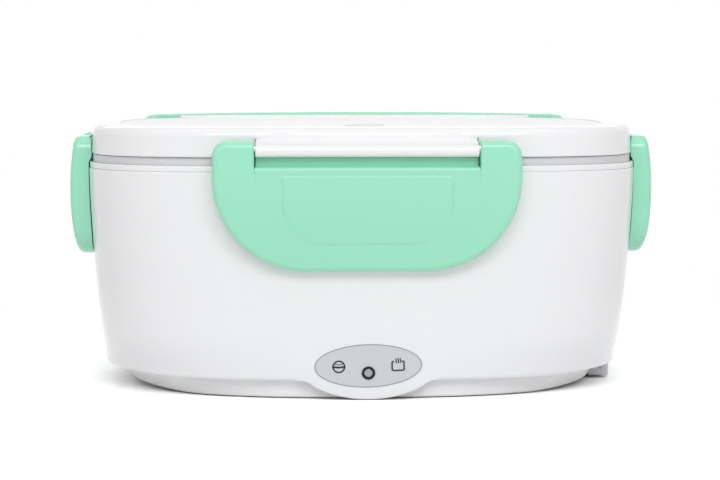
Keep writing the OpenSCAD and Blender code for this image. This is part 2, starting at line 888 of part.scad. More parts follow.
module lid_cover() {
    corner_steps = [0, 15, 30, 45, 60, 75, 90];
    drop = lid_h - lid_straight;
    deck_low = lid_top - panel_depth - deck_t;
    profile = concat(
        [[border_in, deck_low], [border_in, border_under], [lid_wall, border_under]],
        [[lid_wall, lid_bottom], [0, lid_bottom]],
        [for (f = corner_steps) [lid_round * (1 - cos(f)), lid_bottom + lid_straight + drop * sin(f)]],
        [[panel_inset, lid_top], [panel_inset, lid_top - panel_depth]]
    );
    color(white)
        difference() {
            union() {
                loft(rings(profile, lid_a, lid_b, plan_square));
                for (l = latches)
                    facing(l[0])
                        front_bar(l[3])
                            lip_profile(l[1]);
                loft([for (i = [len(strap_steps) - 1 : -1 : 0])
                    if (abs(strap_point(strap_steps[i])[0]) <= grip_half)
                        ridge_ring(strap_steps[i])]);
            }
            for (l = latches)
                facing(l[0])
                    shoulder_room(l[1], l[2], l[3]);
            strap(handle_gap, 6);
            at_handle_pivots() {
                cylinder(r = eye_r + handle_gap, h = strap_w + 2 * handle_gap, center = true);
                cylinder(r = handle_pin_r + hold_gap, h = handle_pin_len + 0.4, center = true);
            }
            for (s = [-1, 1])
                translate([s * strap_a, handle_pivot_y, handle_pivot_z])
                    translate([-strap_w / 2 - handle_gap, -eye_r - handle_gap, 0])
                        cube([strap_w + 2 * handle_gap, 2 * (eye_r + handle_gap), 10]);
            translate([0, -vent_y, lid_bottom])
                cylinder(r = vent_r - 1.6, h = lid_h + 5);
        }
}

module lid_panel() {
    inset = panel_inset + seat_gap;
    color(grey)
        difference() {
            translate([0, 0, lid_top - panel_depth + seat_gap / 2])
                linear_extrude(height = panel_depth - 0.3)
                    polygon(plan(lid_a - inset, lid_b - inset, plan_square));
            translate([0, -vent_y, lid_bottom])
                cylinder(r = vent_r - 1.6, h = lid_h + 5);
        }
}

module lid_liner() {
    low = collar_top + move_gap;
    profile = [
        [border_in + 3, liner_top - 1.8], [border_in + 1, low + 3], [13.3, low], [11.3, low],
        [11.3, low + 1.7], [5.2, low + 1.7], [5.2, low], [band_inset, low],
        [band_inset, border_under - seat_gap], [border_in + 0.5, border_under - seat_gap],
        [border_in + 0.9, liner_top - 2], [border_in + 1.4, liner_top]
    ];
    color(grey)
        difference() {
            loft(rings(profile, lid_a, lid_b, plan_square));
            translate([0, -vent_y, liner_top - 5])
                cylinder(r = 4, h = 10);
        }
}

module lid_gasket() {
    low = collar_top + 0.05;
    high = collar_top + move_gap + 1.6;
    profile = [[8.2, low + 1], [7.4, low], [5.8, low], [5.3, high], [11.2, high], [10.6, low], [9, low]];
    color("lightgray")
        loft(rings(profile, lid_a, lid_b, plan_square), looped = true);
}

module vent_seat() {
    deck = lid_top - panel_depth - deck_t;
    neck = vent_r - 1.6 - seat_gap;
    color(grey)
        translate([0, -vent_y, 0])
            rotate_extrude()
                polygon([
                    [seat_in, deck - 0.6], [neck, deck - 0.6], [neck, lid_top - 0.2],
                    [vent_r, lid_top - 0.2], [vent_r - 0.2, lid_top + 0.8], [vent_r - 1, lid_top + 1.3],
                    [seat_in, lid_top + 1.3]
                ]);
}

module vent_plug() {
    color("lightgray")
        translate([0, -vent_y, 0])
            rotate_extrude()
                polygon([
                    [0, liner_top + 0.2], [3.4, liner_top + 0.2], [3.4, liner_top + 1.6],
                    [2.4, liner_top + 2.4], [2.4, lid_top - 0.9], [plug_r, lid_top - 0.9],
                    [plug_r, lid_top + 1.2], [4.4, lid_top + 1.8], [2.6, lid_top + 2.1], [0, lid_top + 2.2]
                ]);
}

// Outline of a latch across its width, drawn in from its edge by t
module latch_outline(half, lip, corner, t) {
    w = half - t;
    r = corner - t;
    low = latch_bottom + t;
    mid = latch_bottom + corner;
    top = pivot_z + shoulder_r;
    translate([-w, mid])
        square([2 * w, (t > 0 ? notch_floor - t : top - shoulder_round) - mid]);
    translate([-(w - r), low])
        square([2 * (w - r), mid - low + 1]);
    intersection() {
        for (s = [-1, 1])
            translate([s * (w - r), mid])
                circle(r = r, $fn = 96);
        translate([-w, low])
            square([2 * w, mid - low + 0.5]);
    }
    if (t == 0)
        for (s = [-1, 1]) {
            translate([s * (w - shoulder_round), top - shoulder_round])
                circle(r = shoulder_round);
            translate([(s > 0 ? lip : shoulder_round - w), top - shoulder_round - 1])
                square([w - shoulder_round - lip, shoulder_round + 1]);
        }
}

// Section of a latch: bowed outside, straight at the edge that faces the body
module latch_section(edge, t) {
    intersection() {
        translate([edge + latch_bulge - latch_bow, latch_mid])
            circle(r = latch_bow - t, $fn = 180);
        polygon([
            [edge + (t > 0 ? -9 : 1.2), latch_bottom - 1], [edge + 30, latch_bottom - 1],
            [edge + 30, pivot_z + shoulder_r + 1], [edge + (t > 0 ? -9 : 1.8), pivot_z + shoulder_r + 1]
        ]);
    }
}

// The shoulders' section: a knuckle round the pivot that runs out to the bowed face
module shoulder_section(edge) {
    intersection() {
        translate([edge + latch_bulge - latch_bow, latch_mid])
            circle(r = latch_bow, $fn = 180);
        union() {
            translate([edge + pivot_off, pivot_z])
                circle(r = shoulder_r);
            translate([edge + pivot_off, notch_floor - 1])
                square([latch_bulge, pivot_z + shoulder_r - 0.6 - notch_floor]);
            translate([edge + pivot_off, pivot_z])
                square([1.6, shoulder_r]);
            translate([edge + pivot_off + 1.6, pivot_z + shoulder_r - 1.6])
                circle(r = 1.6);
        }
    }
}

// A latch in its place on the front. It is a shallow bowed cap, open towards the body
module latch(edge, half, lip, corner) {
    hook_top = ledge_top - ledge_h - hook_drop;
    hook_tip = edge + ledge_out + move_gap;
    difference() {
        union() {
            intersection() {
                front_bar(half)
                    latch_section(edge, 0);
                front_plate(edge, edge + 30)
                    difference() {
                        latch_outline(half, lip, corner, 0);
                        translate([-half, notch_floor])
                            square([2 * half, 20]);
                    }
            }
            intersection() {
                front_bar(half)
                    shoulder_section(edge);
                front_plate(edge - 5, edge + 30)
                    difference() {
                        latch_outline(half, lip, corner, 0);
                        translate([-lip - move_gap, notch_floor - 2])
                            square([2 * (lip + move_gap), 30]);
                    }
            }
        }
        intersection() {
            front_bar(half)
                latch_section(edge, latch_wall);
            front_plate(edge - 9, edge + 30)
                difference() {
                    latch_outline(half, lip, corner, latch_wall);
                    translate([-lip * 0.6, hook_top - hook_h])
                        square([2 * lip * 0.6, hook_h]);
                }
        }
        translate([-lip, -hook_tip, hook_top - hook_h - 1])
            cube([2 * lip, 10, hook_h + 2]);
        for (s = [-1, 1])
            translate([s * (lip + pin_in_latch / 2), -(edge + pivot_off), pivot_z])
                rotate([0, 90, 0])
                    cylinder(r = pin_r + run_gap, h = pin_in_latch + 2, center = true);
    }
}

module latch_at(i) {
    l = latches[i];
    color(mint)
        facing(l[0])
            latch(l[1], l[2], l[3], l[4]);
}
module latch_front() {
    latch_at(0);
}
module latch_rear() {
    latch_at(1);
}
module latch_right() {
    latch_at(2);
}
module latch_left() {
    latch_at(3);
}

module latch_pins() {
    length = pin_in_lip + pin_in_latch;
    color("gray")
        for (l = latches)
            facing(l[0])
                for (s = [-1, 1])
                    translate([s * (l[3] - pin_in_lip + length / 2), -(l[1] + pivot_off), pivot_z])
                        rotate([0, 90, 0])
                            cylinder(r = pin_r, h = length, center = true);
}

module carry_handle() {
    color(mint)
        difference() {
            union() {
                strap(0, 0);
                at_handle_pivots()
                    cylinder(r = eye_r, h = strap_w, center = true);
            }
            at_handle_pivots()
                cylinder(r = handle_pin_r + run_gap, h = strap_w + 4, center = true);
        }
}

module handle_pins() {
    color("gray")
        at_handle_pivots()
            cylinder(r = handle_pin_r, h = handle_pin_len, center = true);
}

outer_shell();
tub_collar();
inner_tub();
heating_plate();
ptc_heaters();
mica_sheet();
heater_clamp();
clamp_screws();
thermostat();
thermal_fuse();
circuit_board();
internal_wires();
indicator_label();
led_bezel();
led_lens();
base_cover();
base_screws();
rubber_feet();
inlet_housing();
inlet_pins();
inlet_cover();
inlet_hinge_pin();
food_container();
side_tray();
lid_cover();
lid_panel();
lid_liner();
lid_gasket();
vent_seat();
vent_plug();
latch_front();
latch_rear();
latch_left();
latch_right();
latch_pins();
carry_handle();
handle_pins();
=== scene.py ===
"""Looks of a heated lunch box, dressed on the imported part.

Lengths in the builders are millimetres in the part's frame: X to the right, Y to the back, Z up from the table.
They become metres when a mesh is made. A shape is a grid of points, worked out as whole arrays.
"""

import json

import bmesh
import bpy
import numpy as np
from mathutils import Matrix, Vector

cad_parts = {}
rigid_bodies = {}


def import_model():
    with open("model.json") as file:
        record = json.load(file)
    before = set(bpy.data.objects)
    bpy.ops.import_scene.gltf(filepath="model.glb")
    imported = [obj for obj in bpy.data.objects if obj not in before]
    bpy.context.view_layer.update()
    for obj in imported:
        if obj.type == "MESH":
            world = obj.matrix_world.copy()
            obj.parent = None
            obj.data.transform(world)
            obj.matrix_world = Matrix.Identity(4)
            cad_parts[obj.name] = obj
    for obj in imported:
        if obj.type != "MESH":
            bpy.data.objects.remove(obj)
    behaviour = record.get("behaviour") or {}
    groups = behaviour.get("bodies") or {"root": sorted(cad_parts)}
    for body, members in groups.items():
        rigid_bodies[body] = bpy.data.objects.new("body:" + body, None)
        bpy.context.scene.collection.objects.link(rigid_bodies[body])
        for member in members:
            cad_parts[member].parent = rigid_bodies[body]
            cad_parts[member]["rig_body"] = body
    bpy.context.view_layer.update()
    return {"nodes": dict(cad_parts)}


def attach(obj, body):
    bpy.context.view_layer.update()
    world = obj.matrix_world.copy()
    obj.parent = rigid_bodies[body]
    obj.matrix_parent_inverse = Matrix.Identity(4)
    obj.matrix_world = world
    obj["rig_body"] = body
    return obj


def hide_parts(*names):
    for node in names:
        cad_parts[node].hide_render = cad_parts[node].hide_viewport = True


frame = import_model()
nodes = frame["nodes"]
PI = np.pi

# Sizes of the part in millimetres: half widths A along X and B along Y, heights, and the squareness of outlines
HALF_W, HALF_D = 117.0, 84.0
BODY_TOP, FOOT_TOP, SHELL_LOW = 94.0, 18.0, 8.0
SQUARE_TOP, SQUARE_BASE, SQUARE_SKIRT = 3.7, 3.3, 2.9
BASE_A, BASE_B = 101.6, 73.4
POSTS = [(sx * 78, sy * 46, 0) for sx in (-1, 1) for sy in (-1, 1)]
LID_A, LID_B, LID_LOW, LID_TOP = 117.4, 84.4, 99.9, 112.3
RECESS, VENT_AT = 13.5, (0, -58.0, 0)
PIVOT_OUT, PIVOT_Z = 3.9, 103.7
STRAP_A, STRAP_B, STRAP_LOW, STRAP_W, STRAP_H = 109.0, 80.3, 104.8, 7.0, 6.0
GRIP_HALF, GAP = 84.0, 0.6
GROOVE_HALF = STRAP_W / 2 + GAP
HANDLE_Y, HANDLE_Z, EYE_R = 12.0, 107.5, 3.5

# Sizes of the looks alone, read from the photo
TAPER_X, TAPER_Y, LEAN_POWER, FOOT_ROUND = 5.6, 4.6, 1.7, 1.8
LID_X = LID_A - 1.1
LID_ROUND, LID_STRAIGHT, LID_DRAFT = 5.0, 7.6, 0.9
FRONT_Y = 79.4
FRONT_LEAN = np.arctan(TAPER_Y * LEAN_POWER / (BODY_TOP - FOOT_TOP))
APRON_X, LABEL_UP, LABEL_TURN, LED_UP = 0.75, -3.55, np.radians(1.4), -6.5

# The outlines of the body's top edge and of the lid, as loft takes them
BODY, LID = (HALF_W, HALF_D, SQUARE_TOP), (LID_A, LID_B, SQUARE_TOP)

# The four sides by quarter turns; EDGE and LIP_HALF hold the value of front and back, then of right and left
SIDES = "frbl"
EDGE, LIP_HALF = (LID_B, LID_A), (45.1, 17.0)


# ---------------------------------------------------------------- shapes

def spow(v, n):
    """Signed power: the sign of v times its size to the power 2 over n."""
    return np.sign(v) * np.abs(v) ** (2.0 / n)


def smooth(v, low, high):
    """A smooth step from 0 at low to 1 at high: 3u squared less 2u cubed."""
    u = np.clip((v - low) / (high - low), 0, 1)
    return u * u * (3 - 2 * u)


def cosine(count):
    """Numbers from 0 to 1 that crowd at both ends, as a half circle's shadow does."""
    return (1 - np.cos(np.linspace(0, PI, count))) / 2


def ring(a, b, n, z, t):
    """Superellipse of half widths a and b and squareness n, at angles t and height z."""
    a, b, n, z, t = np.broadcast_arrays(a, b, n, z, t)
    return np.stack([a * spow(np.cos(t), n), b * spow(np.sin(t), n), z], -1)


def even_turn(count=288):
    """Angles round a superellipse that fall evenly, with a few more near the middles of the four sides,
    where equal angles would leave long steps."""
    t = np.linspace(0, 2 * PI, count, endpoint=False)
    tenths = np.array([-6, -3, 3, 6, -1, 1, -10, 10])
    near = [q * PI / 2 + tenths * PI / 1800 for q in range(4)]
    return np.unique(np.round(np.mod(np.concatenate([t, *near]), 2 * PI), 6))


def rounded(points, radius, steps=4, closed=True):
    """A polyline with each corner cut back by radius along both sides and bridged by a parabola."""
    p = np.asarray(points, float)
    r = np.broadcast_to(radius, len(p))
    before, after = np.roll(p, 1, 0), np.roll(p, -1, 0)
    if not closed:
        before[0], after[-1] = p[0], p[-1]
    u, v = before - p, after - p
    lu, lv = np.linalg.norm(u, axis=1), np.linalg.norm(v, axis=1)
    cut = np.minimum(r, 0.45 * np.minimum(lu, lv))
    if not closed:
        cut[[0, -1]] = 0
    start = p + u / np.maximum(lu, 1e-9)[:, None] * cut[:, None]
    end = p + v / np.maximum(lv, 1e-9)[:, None] * cut[:, None]
    s = np.linspace(0, 1, steps + 1)[None, :, None]
    arc = (1 - s) ** 2 * start[:, None] + 2 * s * (1 - s) * p[:, None] + s * s * end[:, None]
    flat = arc.reshape(-1, 2)
    step = np.linalg.norm(np.diff(flat, axis=0), axis=1)
    return flat[np.concatenate([[True], step > 1e-6])]


class Shape:
    """Points and faces of one piece, in millimetres."""

    def __init__(self):
        self.points, self.faces, self.count = [], [], 0

    def add(self, points, faces):
        """Adds points as rows of X, Y, Z and faces that count from the first of them."""
        points = np.asarray(points, float).reshape(-1, 3)
        self.points.append(points)
        self.faces.extend(np.asarray(f) + self.count for f in faces)
        self.count += len(points)
        return self

    def join(self, *others):
        """Adds all points and faces of other shapes."""
        for other in others:
            self.add(np.vstack(other.points), other.faces)
        return self

    def grid(self, g, wrap_rows=False, wrap_cols=True, flip=False):
        """Quads over a grid of points. They look outwards if rows run upwards and columns anticlockwise."""
        rows, cols = g.shape[:2]
        r = np.arange(rows if wrap_rows else rows - 1)[:, None]
        c = np.arange(cols if wrap_cols else cols - 1)[None, :]
        r2, c2 = (r + 1) % rows, (c + 1) % cols
        corners = (r * cols + c, r * cols + c2, r2 * cols + c2, r2 * cols + c)
        quads = np.stack(np.broadcast_arrays(*corners), -1).reshape(-1, 4)
        return self.add(g, [quads[:, ::-1] if flip else quads])

    def cap(self, loop, flip=False):
        """A fan over a closed loop, from the loop's middle."""
        loop = np.asarray(loop, float)
        n = len(loop)
        i = np.arange(n)
        tris = np.stack([i, (i + 1) % n, np.full(n, n)], -1)
        return self.add(np.vstack([loop, loop.mean(0)]), [tris[:, ::-1] if flip else tris])

    def turned(self, turn):
        """Every point turned about Z by quarter turns: 0 front, 1 right, 2 rear, 3 left."""
        c, s = [(1, 0), (0, 1), (-1, 0), (0, -1)][turn]
        m = np.array([[c, -s, 0], [s, c, 0], [0, 0, 1]], float)
        return self.moved(lambda p: p @ m.T)

    def moved(self, f):
        """Every point through the function f, which takes and gives an array of points."""
        self.points = [f(p) for p in self.points]
        return self


def shade(mesh):
    """Smooth faces, with edges sharper than 35 degrees kept crisp."""
    mesh.polygons.foreach_set("use_smooth", np.ones(len(mesh.polygons), bool))
    mesh.set_sharp_from_angle(angle=np.radians(35))


def placed(name, data):
    """An object with this data, linked to the scene."""
    o = bpy.data.objects.new(name, data)
    bpy.context.scene.collection.objects.link(o)
    return o


def piece(name, body, shape, material, stands_for=()):
    """A mesh object at the origin, in metres, that rides on a body. Points that coincide are joined."""
    points = np.vstack(shape.points) * 0.001
    loops = np.concatenate([f.ravel() for f in shape.faces])
    sizes = np.concatenate([np.full(len(f), f.shape[1]) for f in shape.faces])
    starts = np.concatenate([[0], np.cumsum(sizes)[:-1]])
    mesh = bpy.data.meshes.new(name)
    mesh.vertices.add(len(points))
    mesh.vertices.foreach_set("co", points.astype(np.float32).ravel())
    mesh.loops.add(len(loops))
    mesh.loops.foreach_set("vertex_index", loops.astype(np.int32))
    mesh.polygons.add(len(sizes))
    mesh.polygons.foreach_set("loop_start", starts.astype(np.int32))
    mesh.update(calc_edges=True)
    bm = bmesh.new()
    bm.from_mesh(mesh)
    bmesh.ops.remove_doubles(bm, verts=bm.verts, dist=2e-6)
    bmesh.ops.dissolve_degenerate(bm, edges=bm.edges, dist=1e-6)
    bm.to_mesh(mesh)
    bm.free()
    mesh.validate()
    shade(mesh)
    o = placed(name, mesh)
    mesh.materials.append(material)
    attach(o, body)
    if stands_for:
        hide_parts(*stands_for)
    return o


def cut(o, shape):
    """Takes a closed shape out of a piece, and keeps the result as the piece's own mesh."""
    tool = piece(o.name + "_cutter", o["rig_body"], shape, o.data.materials[0])
    m = o.modifiers.new("cut", "BOOLEAN")
    m.operation, m.solver, m.object = "DIFFERENCE", "EXACT", tool
    bpy.context.view_layer.update()
    made = bpy.data.meshes.new_from_object(o.evaluated_get(bpy.context.evaluated_depsgraph_get()))
    o.modifiers.clear()
    o.data = made
    shade(made)
    bpy.data.objects.remove(tool)


def solid(g):
    """A grid of rings with its first and last ring filled."""
    return Shape().grid(g).cap(g[0], flip=True).cap(g[-1])


def hoop(g):
    """A grid of rings whose last ring joins on to the first."""
    return Shape().grid(g, wrap_rows=True)


def loft(profile, a, b, n, t=None):
    """Closed band: each [inset, height] of the profile becomes a superellipse that much inside a by b."""
    t = even_turn() if t is None else t
    p = np.asarray(profile, float)
    return ring(a - p[:, :1], b - p[:, :1], n, p[:, 1:], t[None, :])


def revolve(profile, count=96):
    """Profile of [radius, height] turned about Z."""
    p = np.asarray(profile, float)
    r, z, t = np.broadcast_arrays(p[:, :1], p[:, 1:], np.linspace(0, 2 * PI, count, endpoint=False))
    return np.stack([r * np.cos(t), r * np.sin(t), z], -1)


def box(low, high, r=0.4):
    """A block whose plan has rounded corners and whose top and bottom edges are eased by r."""
    low, high = np.asarray(low, float), np.asarray(high, float)
    mid, half = (low + high) / 2, (high - low) / 2
    k = 6
    a = np.linspace(0, PI / 2, k)
    inset = np.concatenate([[r], r * (1 - np.sin(a)), r * (1 - np.cos(a)), [r]])
    z = np.concatenate([[low[2]], low[2] + r * (1 - np.cos(a)), high[2] - r * (1 - np.sin(a)), [high[2]]])
    turn = np.concatenate([q * PI / 2 + a for q in range(4)])
    corner = np.repeat([[1, 1], [-1, 1], [-1, -1], [1, -1]], k, axis=0)
    rr = np.maximum(1.6 * r - inset, 0.02)[:, None]
    x = mid[0] + corner[:, 0] * (half[0] - 1.6 * r) + rr * np.cos(turn)
    y = mid[1] + corner[:, 1] * (half[1] - 1.6 * r) + rr * np.sin(turn)
    return solid(np.stack([x, y, np.broadcast_to(z[:, None], x.shape)], -1))


def bar(profile, half, ease, turn=0, sink=0.0):
    """A profile of [out, height], closed and anticlockwise seen from the +X end, drawn along X from -half to
    half. Towards each end it shrinks by a quarter circle of radius ease, along its own normals, and over the
    last 8 mm each point moves in by its share of sink."""
    p = np.asarray(profile, float)
    d = np.roll(p, -1, 0) - np.roll(p, 1, 0)
    normal = np.stack([d[:, 1], -d[:, 0]], -1) / np.linalg.norm(d, axis=1)[:, None]
    f = np.linspace(0, PI / 2, 7)
    x = np.concatenate([-half + ease * (1 - np.sin(f[::-1])), half - ease * (1 - np.sin(f))])
    x = np.unique(np.round(np.concatenate([x, (half - ease) * (2 * cosine(40) - 1)]), 5))
    over = np.maximum(np.abs(x) - (half - ease), 0)
    shrink = ease - np.sqrt(np.maximum(ease**2 - over**2, 0))
    q = p[None] + normal[None] * -shrink[:, None, None] * np.sign(area(p))
    q[..., 0] -= smooth(np.abs(x), half - 8, half)[:, None] * sink
    g = np.stack([np.broadcast_to(x[:, None], q.shape[:2]), -q[..., 0], q[..., 1]], -1)
    inward = area(p) < 0
    return Shape().grid(g, flip=inward).cap(g[0], flip=not inward).cap(g[-1], flip=inward).turned(turn)


def area(p):
    """Signed area of a closed outline, above 0 where it runs anticlockwise."""
    q = np.roll(p, -1, 0)
    return 0.5 * np.sum(p[:, 0] * q[:, 1] - q[:, 0] * p[:, 1])


# ---------------------------------------------------------------- materials

EFFECT = ("Height", "Roughness Change", "Brightness")


def group(name, inputs):
    """An empty node group with inputs of (name, type, default) and an effect's three outputs."""
    g = bpy.data.node_groups.new(name, "ShaderNodeTree")
    for label, kind, value in inputs:
        g.interface.new_socket(label, in_out="INPUT", socket_type="NodeSocket" + kind).default_value = value
    for label in EFFECT:
        g.interface.new_socket(label, in_out="OUTPUT", socket_type="NodeSocketFloat")
    return g, g.nodes.new("NodeGroupInput").outputs, g.nodes.new("NodeGroupOutput").inputs


def node(tree, kind, links=(), **values):
    """A node with its properties set; names with a leading s_ are input sockets, in words or by number."""
    n = tree.nodes.new("ShaderNode" + kind)
    for k, v in values.items():
        if k.startswith("s_"):
            key = k[2:]
            n.inputs[int(key) if key.isdigit() else key.replace("_", " ")].default_value = v
        else:
            setattr(n, k, v)
    for socket, source in links:
        tree.links.new(source, n.inputs[socket])
    return n


def maths(tree, operation, links, **values):
    """The result of a Math node."""
    return node(tree, "Math", links, operation=operation, **values).outputs[0]


def noise(tree, links, **values):
    """The factor of a noise texture."""
    return node(tree, "TexNoise", links, **values).outputs[0]


def moulded_group():
    """Moulded plastic: a faint orange peel and slow waviness as a height, fine scuffs as a roughness change,
    and a slow drift of the colour's brightness."""
    g, given, out = group("moulded skin", [
        ("Peel Scale", "Float", 900.0), ("Peel", "Float", 0.3), ("Scuffs", "Float", 0.3), ("Drift", "Float", 0.02),
    ])
    at = node(g, "TexCoord").outputs["Object"]
    peel = noise(g, [("Vector", at), ("Scale", given["Peel Scale"])], s_Detail=2.0, s_Roughness=0.4)
    waves = noise(g, [("Vector", at)], s_Scale=22.0, s_Detail=1.0)
    fine = maths(g, "MULTIPLY", [(0, peel), (1, given["Peel"])])
    height = maths(g, "MULTIPLY_ADD", [(0, waves), (2, fine)], s_1=1.6)
    stretch = node(g, "Mapping", [("Vector", at)], s_Scale=(60, 60, 700), s_Rotation=(0.5, 0.3, 0.2))
    hair = noise(g, [("Vector", stretch.outputs[0])], s_Scale=3.0, s_Detail=6.0, s_Roughness=0.7)
    lines = node(g, "MapRange", [("Value", hair)], s_From_Min=0.56, s_From_Max=0.72)
    scuffs = maths(g, "MULTIPLY", [(0, lines.outputs[0]), (1, given["Scuffs"])])
    cloud = noise(g, [("Vector", at)], s_Scale=14.0, s_Detail=3.0)
    centred = maths(g, "SUBTRACT", [(0, cloud)], s_1=0.5)
    drift = maths(g, "MULTIPLY_ADD", [(0, centred), (1, given["Drift"])], s_2=1.0)
    for label, source in zip(EFFECT, (height, scuffs, drift)):
        g.links.new(source, out[label])
    return g


def brushed_group():
    """Brushed metal: long thin streaks along one direction, as a height, a roughness change and a brightness."""
    g, given, out = group("brushed metal", [("Stretch", "Vector", (8, 900, 900)), ("Depth", "Float", 0.5)])
    at = node(g, "TexCoord").outputs["Object"]
    long = node(g, "Mapping", [("Vector", at), ("Scale", given["Stretch"])])
    streak = noise(g, [("Vector", long.outputs[0])], s_Scale=1.0, s_Detail=5.0, s_Roughness=0.65)
    height = maths(g, "MULTIPLY", [(0, streak), (1, given["Depth"])])
    rough = maths(g, "MULTIPLY_ADD", [(0, streak)], s_1=0.22, s_2=-0.11)
    bright = maths(g, "MULTIPLY_ADD", [(0, streak)], s_1=0.24, s_2=0.88)
    for label, source in zip(EFFECT, (height, rough, bright)):
        g.links.new(source, out[label])
    return g


MOULDED, BRUSHED = moulded_group(), brushed_group()


def look(name, colour, rough, effect=MOULDED, bump=0.15, settings=(), **sockets):
    """A Principled material whose colour, roughness and normal are varied by an effect group."""
    m = bpy.data.materials.new(name)
    m.use_nodes = True
    t = m.node_tree
    shader = t.nodes["Principled BSDF"]
    g = t.nodes.new("ShaderNodeGroup")
    g.node_tree = effect
    for k, v in dict(settings).items():
        g.inputs[k].default_value = v
    tone = node(t, "VectorMath", [("Scale", g.outputs["Brightness"])], operation="SCALE", s_0=colour)
    soft = maths(t, "ADD", [(0, g.outputs["Roughness Change"])], use_clamp=True, s_1=rough)
    b = node(t, "Bump", [("Height", g.outputs["Height"])], s_Strength=bump, s_Distance=0.0002)
    t.links.new(tone.outputs[0], shader.inputs["Base Color"])
    t.links.new(soft, shader.inputs["Roughness"])
    t.links.new(b.outputs[0], shader.inputs["Normal"])
    for k, v in sockets.items():
        shader.inputs[k.replace("_", " ")].default_value = v
    return m


WHITE = look("gloss_white_shell", (0.87, 0.868, 0.882), 0.1, settings={"Scuffs": 0.04}, IOR=1.5)
TUB = look("satin_white_tub", (0.8, 0.8, 0.79), 0.38, settings={"Peel": 0.5})
BASE = look("satin_white_base", (0.92, 0.918, 0.93), 0.26, settings={"Peel": 0.5})
TRAY = look("satin_white_tray", (0.82, 0.83, 0.82), 0.34, settings={"Peel": 0.4})
MINT = look("gloss_mint", (0.33, 0.775, 0.555), 0.12, settings={"Scuffs": 0.06, "Drift": 0.03},
            Subsurface_Weight=0.05, Subsurface_Scale=0.002)
PANEL = look("satin_grey_panel", (0.79, 0.79, 0.8), 0.36, bump=0.3, settings={"Peel Scale": 1600.0, "Peel": 1.2})
LINER = look("satin_grey_liner", (0.68, 0.682, 0.7), 0.4, settings={"Peel": 0.5})
LABEL = look("printed_grey_label", (0.63, 0.64, 0.66), 0.35, settings={"Peel Scale": 2500.0, "Peel": 0.8})
RIM = look("label_edge_grey", (0.3, 0.31, 0.33), 0.4)
PRINT = look("dark_print", (0.02, 0.02, 0.022), 0.5)
LENS = look("frosted_lens", (0.36, 0.37, 0.38), 0.25, Coat_Weight=0.5)
BLACK = look("gloss_black", (0.012, 0.012, 0.014), 0.3, Specular_IOR_Level=0.2)
SEAL = look("grey_silicone", (0.82, 0.82, 0.835), 0.55, settings={"Peel": 0.7}, Sheen_Weight=0.1)
VENT = look("pale_silicone", (0.72, 0.72, 0.73), 0.45, settings={"Peel": 0.6})
SOCKET = look("satin_grey_socket", (0.7, 0.7, 0.71), 0.4, settings={"Peel": 0.7})
MILKY = look("milky_silicone", (0.78, 0.79, 0.79), 0.45, Subsurface_Weight=0.15, Subsurface_Scale=0.003)
RUBBER = look("foot_rubber", (0.12, 0.12, 0.125), 0.75, bump=0.4, settings={"Peel": 1.5})
STEEL = look("brushed_container", (0.62, 0.62, 0.62), 0.28, BRUSHED, bump=0.05,
             settings={"Stretch": (14, 14, 1100)}, Metallic=1.0)
PLATE = look("cast_plate", (0.66, 0.66, 0.67), 0.36, BRUSHED, bump=0.1, Metallic=1.0)
ZINC = look("zinc_steel", (0.52, 0.52, 0.53), 0.32, BRUSHED, bump=0.05, Metallic=1.0)
BRASS = look("turned_brass", (0.72, 0.55, 0.24), 0.25, BRUSHED, bump=0.05, Metallic=1.0)
CERAMIC = look("heater_case", (0.2, 0.2, 0.21), 0.6, bump=0.4, settings={"Peel": 1.2})
MICA = look("mica_and_sleeve", (0.55, 0.45, 0.27), 0.5, bump=0.3)
BOARD = look("solder_mask", (0.02, 0.16, 0.07), 0.35)
WIRE = look("red_wire_jacket", (0.42, 0.03, 0.02), 0.45)

# Nodes that keep the shape of their solid and only take a material
plain = {
    "heating_plate": PLATE, "ptc_heaters": CERAMIC, "mica_sheet": MICA, "heater_clamp": ZINC,
    "clamp_screws": ZINC, "thermostat": BLACK, "thermal_fuse": MICA, "circuit_board": BOARD,
    "internal_wires": WIRE, "base_screws": ZINC, "rubber_feet": RUBBER, "inlet_housing": SOCKET,
    "inlet_pins": BRASS, "inlet_hinge_pin": ZINC, "latch_pins": ZINC, "handle_pins": ZINC,
}
for name, material in plain.items():
    nodes[name].data.materials.clear()
    nodes[name].data.materials.append(material)


# ---------------------------------------------------------------- body

def lean(z):
    """How far the wall leans in: 0 at the top edge, 1 at the top of the foot's rounding."""
    return np.clip((BODY_TOP - z) / (BODY_TOP - FOOT_TOP), 0, 1) ** LEAN_POWER


def shell_ring(z, inset, t, flat=0.0):
    """A ring of the shell at height z. Below the foot's top the wall keeps the front's slope. Near the lower edge
    the outline curls in by a quarter circle and its corners grow rounder; flat, from 0 to 1 and one number for
    each angle, takes both away."""
    sink = np.clip(1 - (z - SHELL_LOW) / FOOT_ROUND, 0, 1)
    curl = FOOT_ROUND * (1 - np.sqrt(1 - sink**2)) * (1 - flat)
    further = np.clip(FOOT_TOP - z, 0, None) * np.tan(FRONT_LEAN)
    n = SQUARE_BASE + (SQUARE_TOP - SQUARE_BASE) * np.clip((z - SHELL_LOW) / (BODY_TOP - SHELL_LOW), 0, 1)
    n = n - 0.5 * (1 - smooth(z, SHELL_LOW, 26)) * (1 - flat)
    return ring(HALF_W - TAPER_X * lean(z) - curl - inset - further,
                HALF_D - TAPER_Y * lean(z) - curl - inset - further, n, z, t)


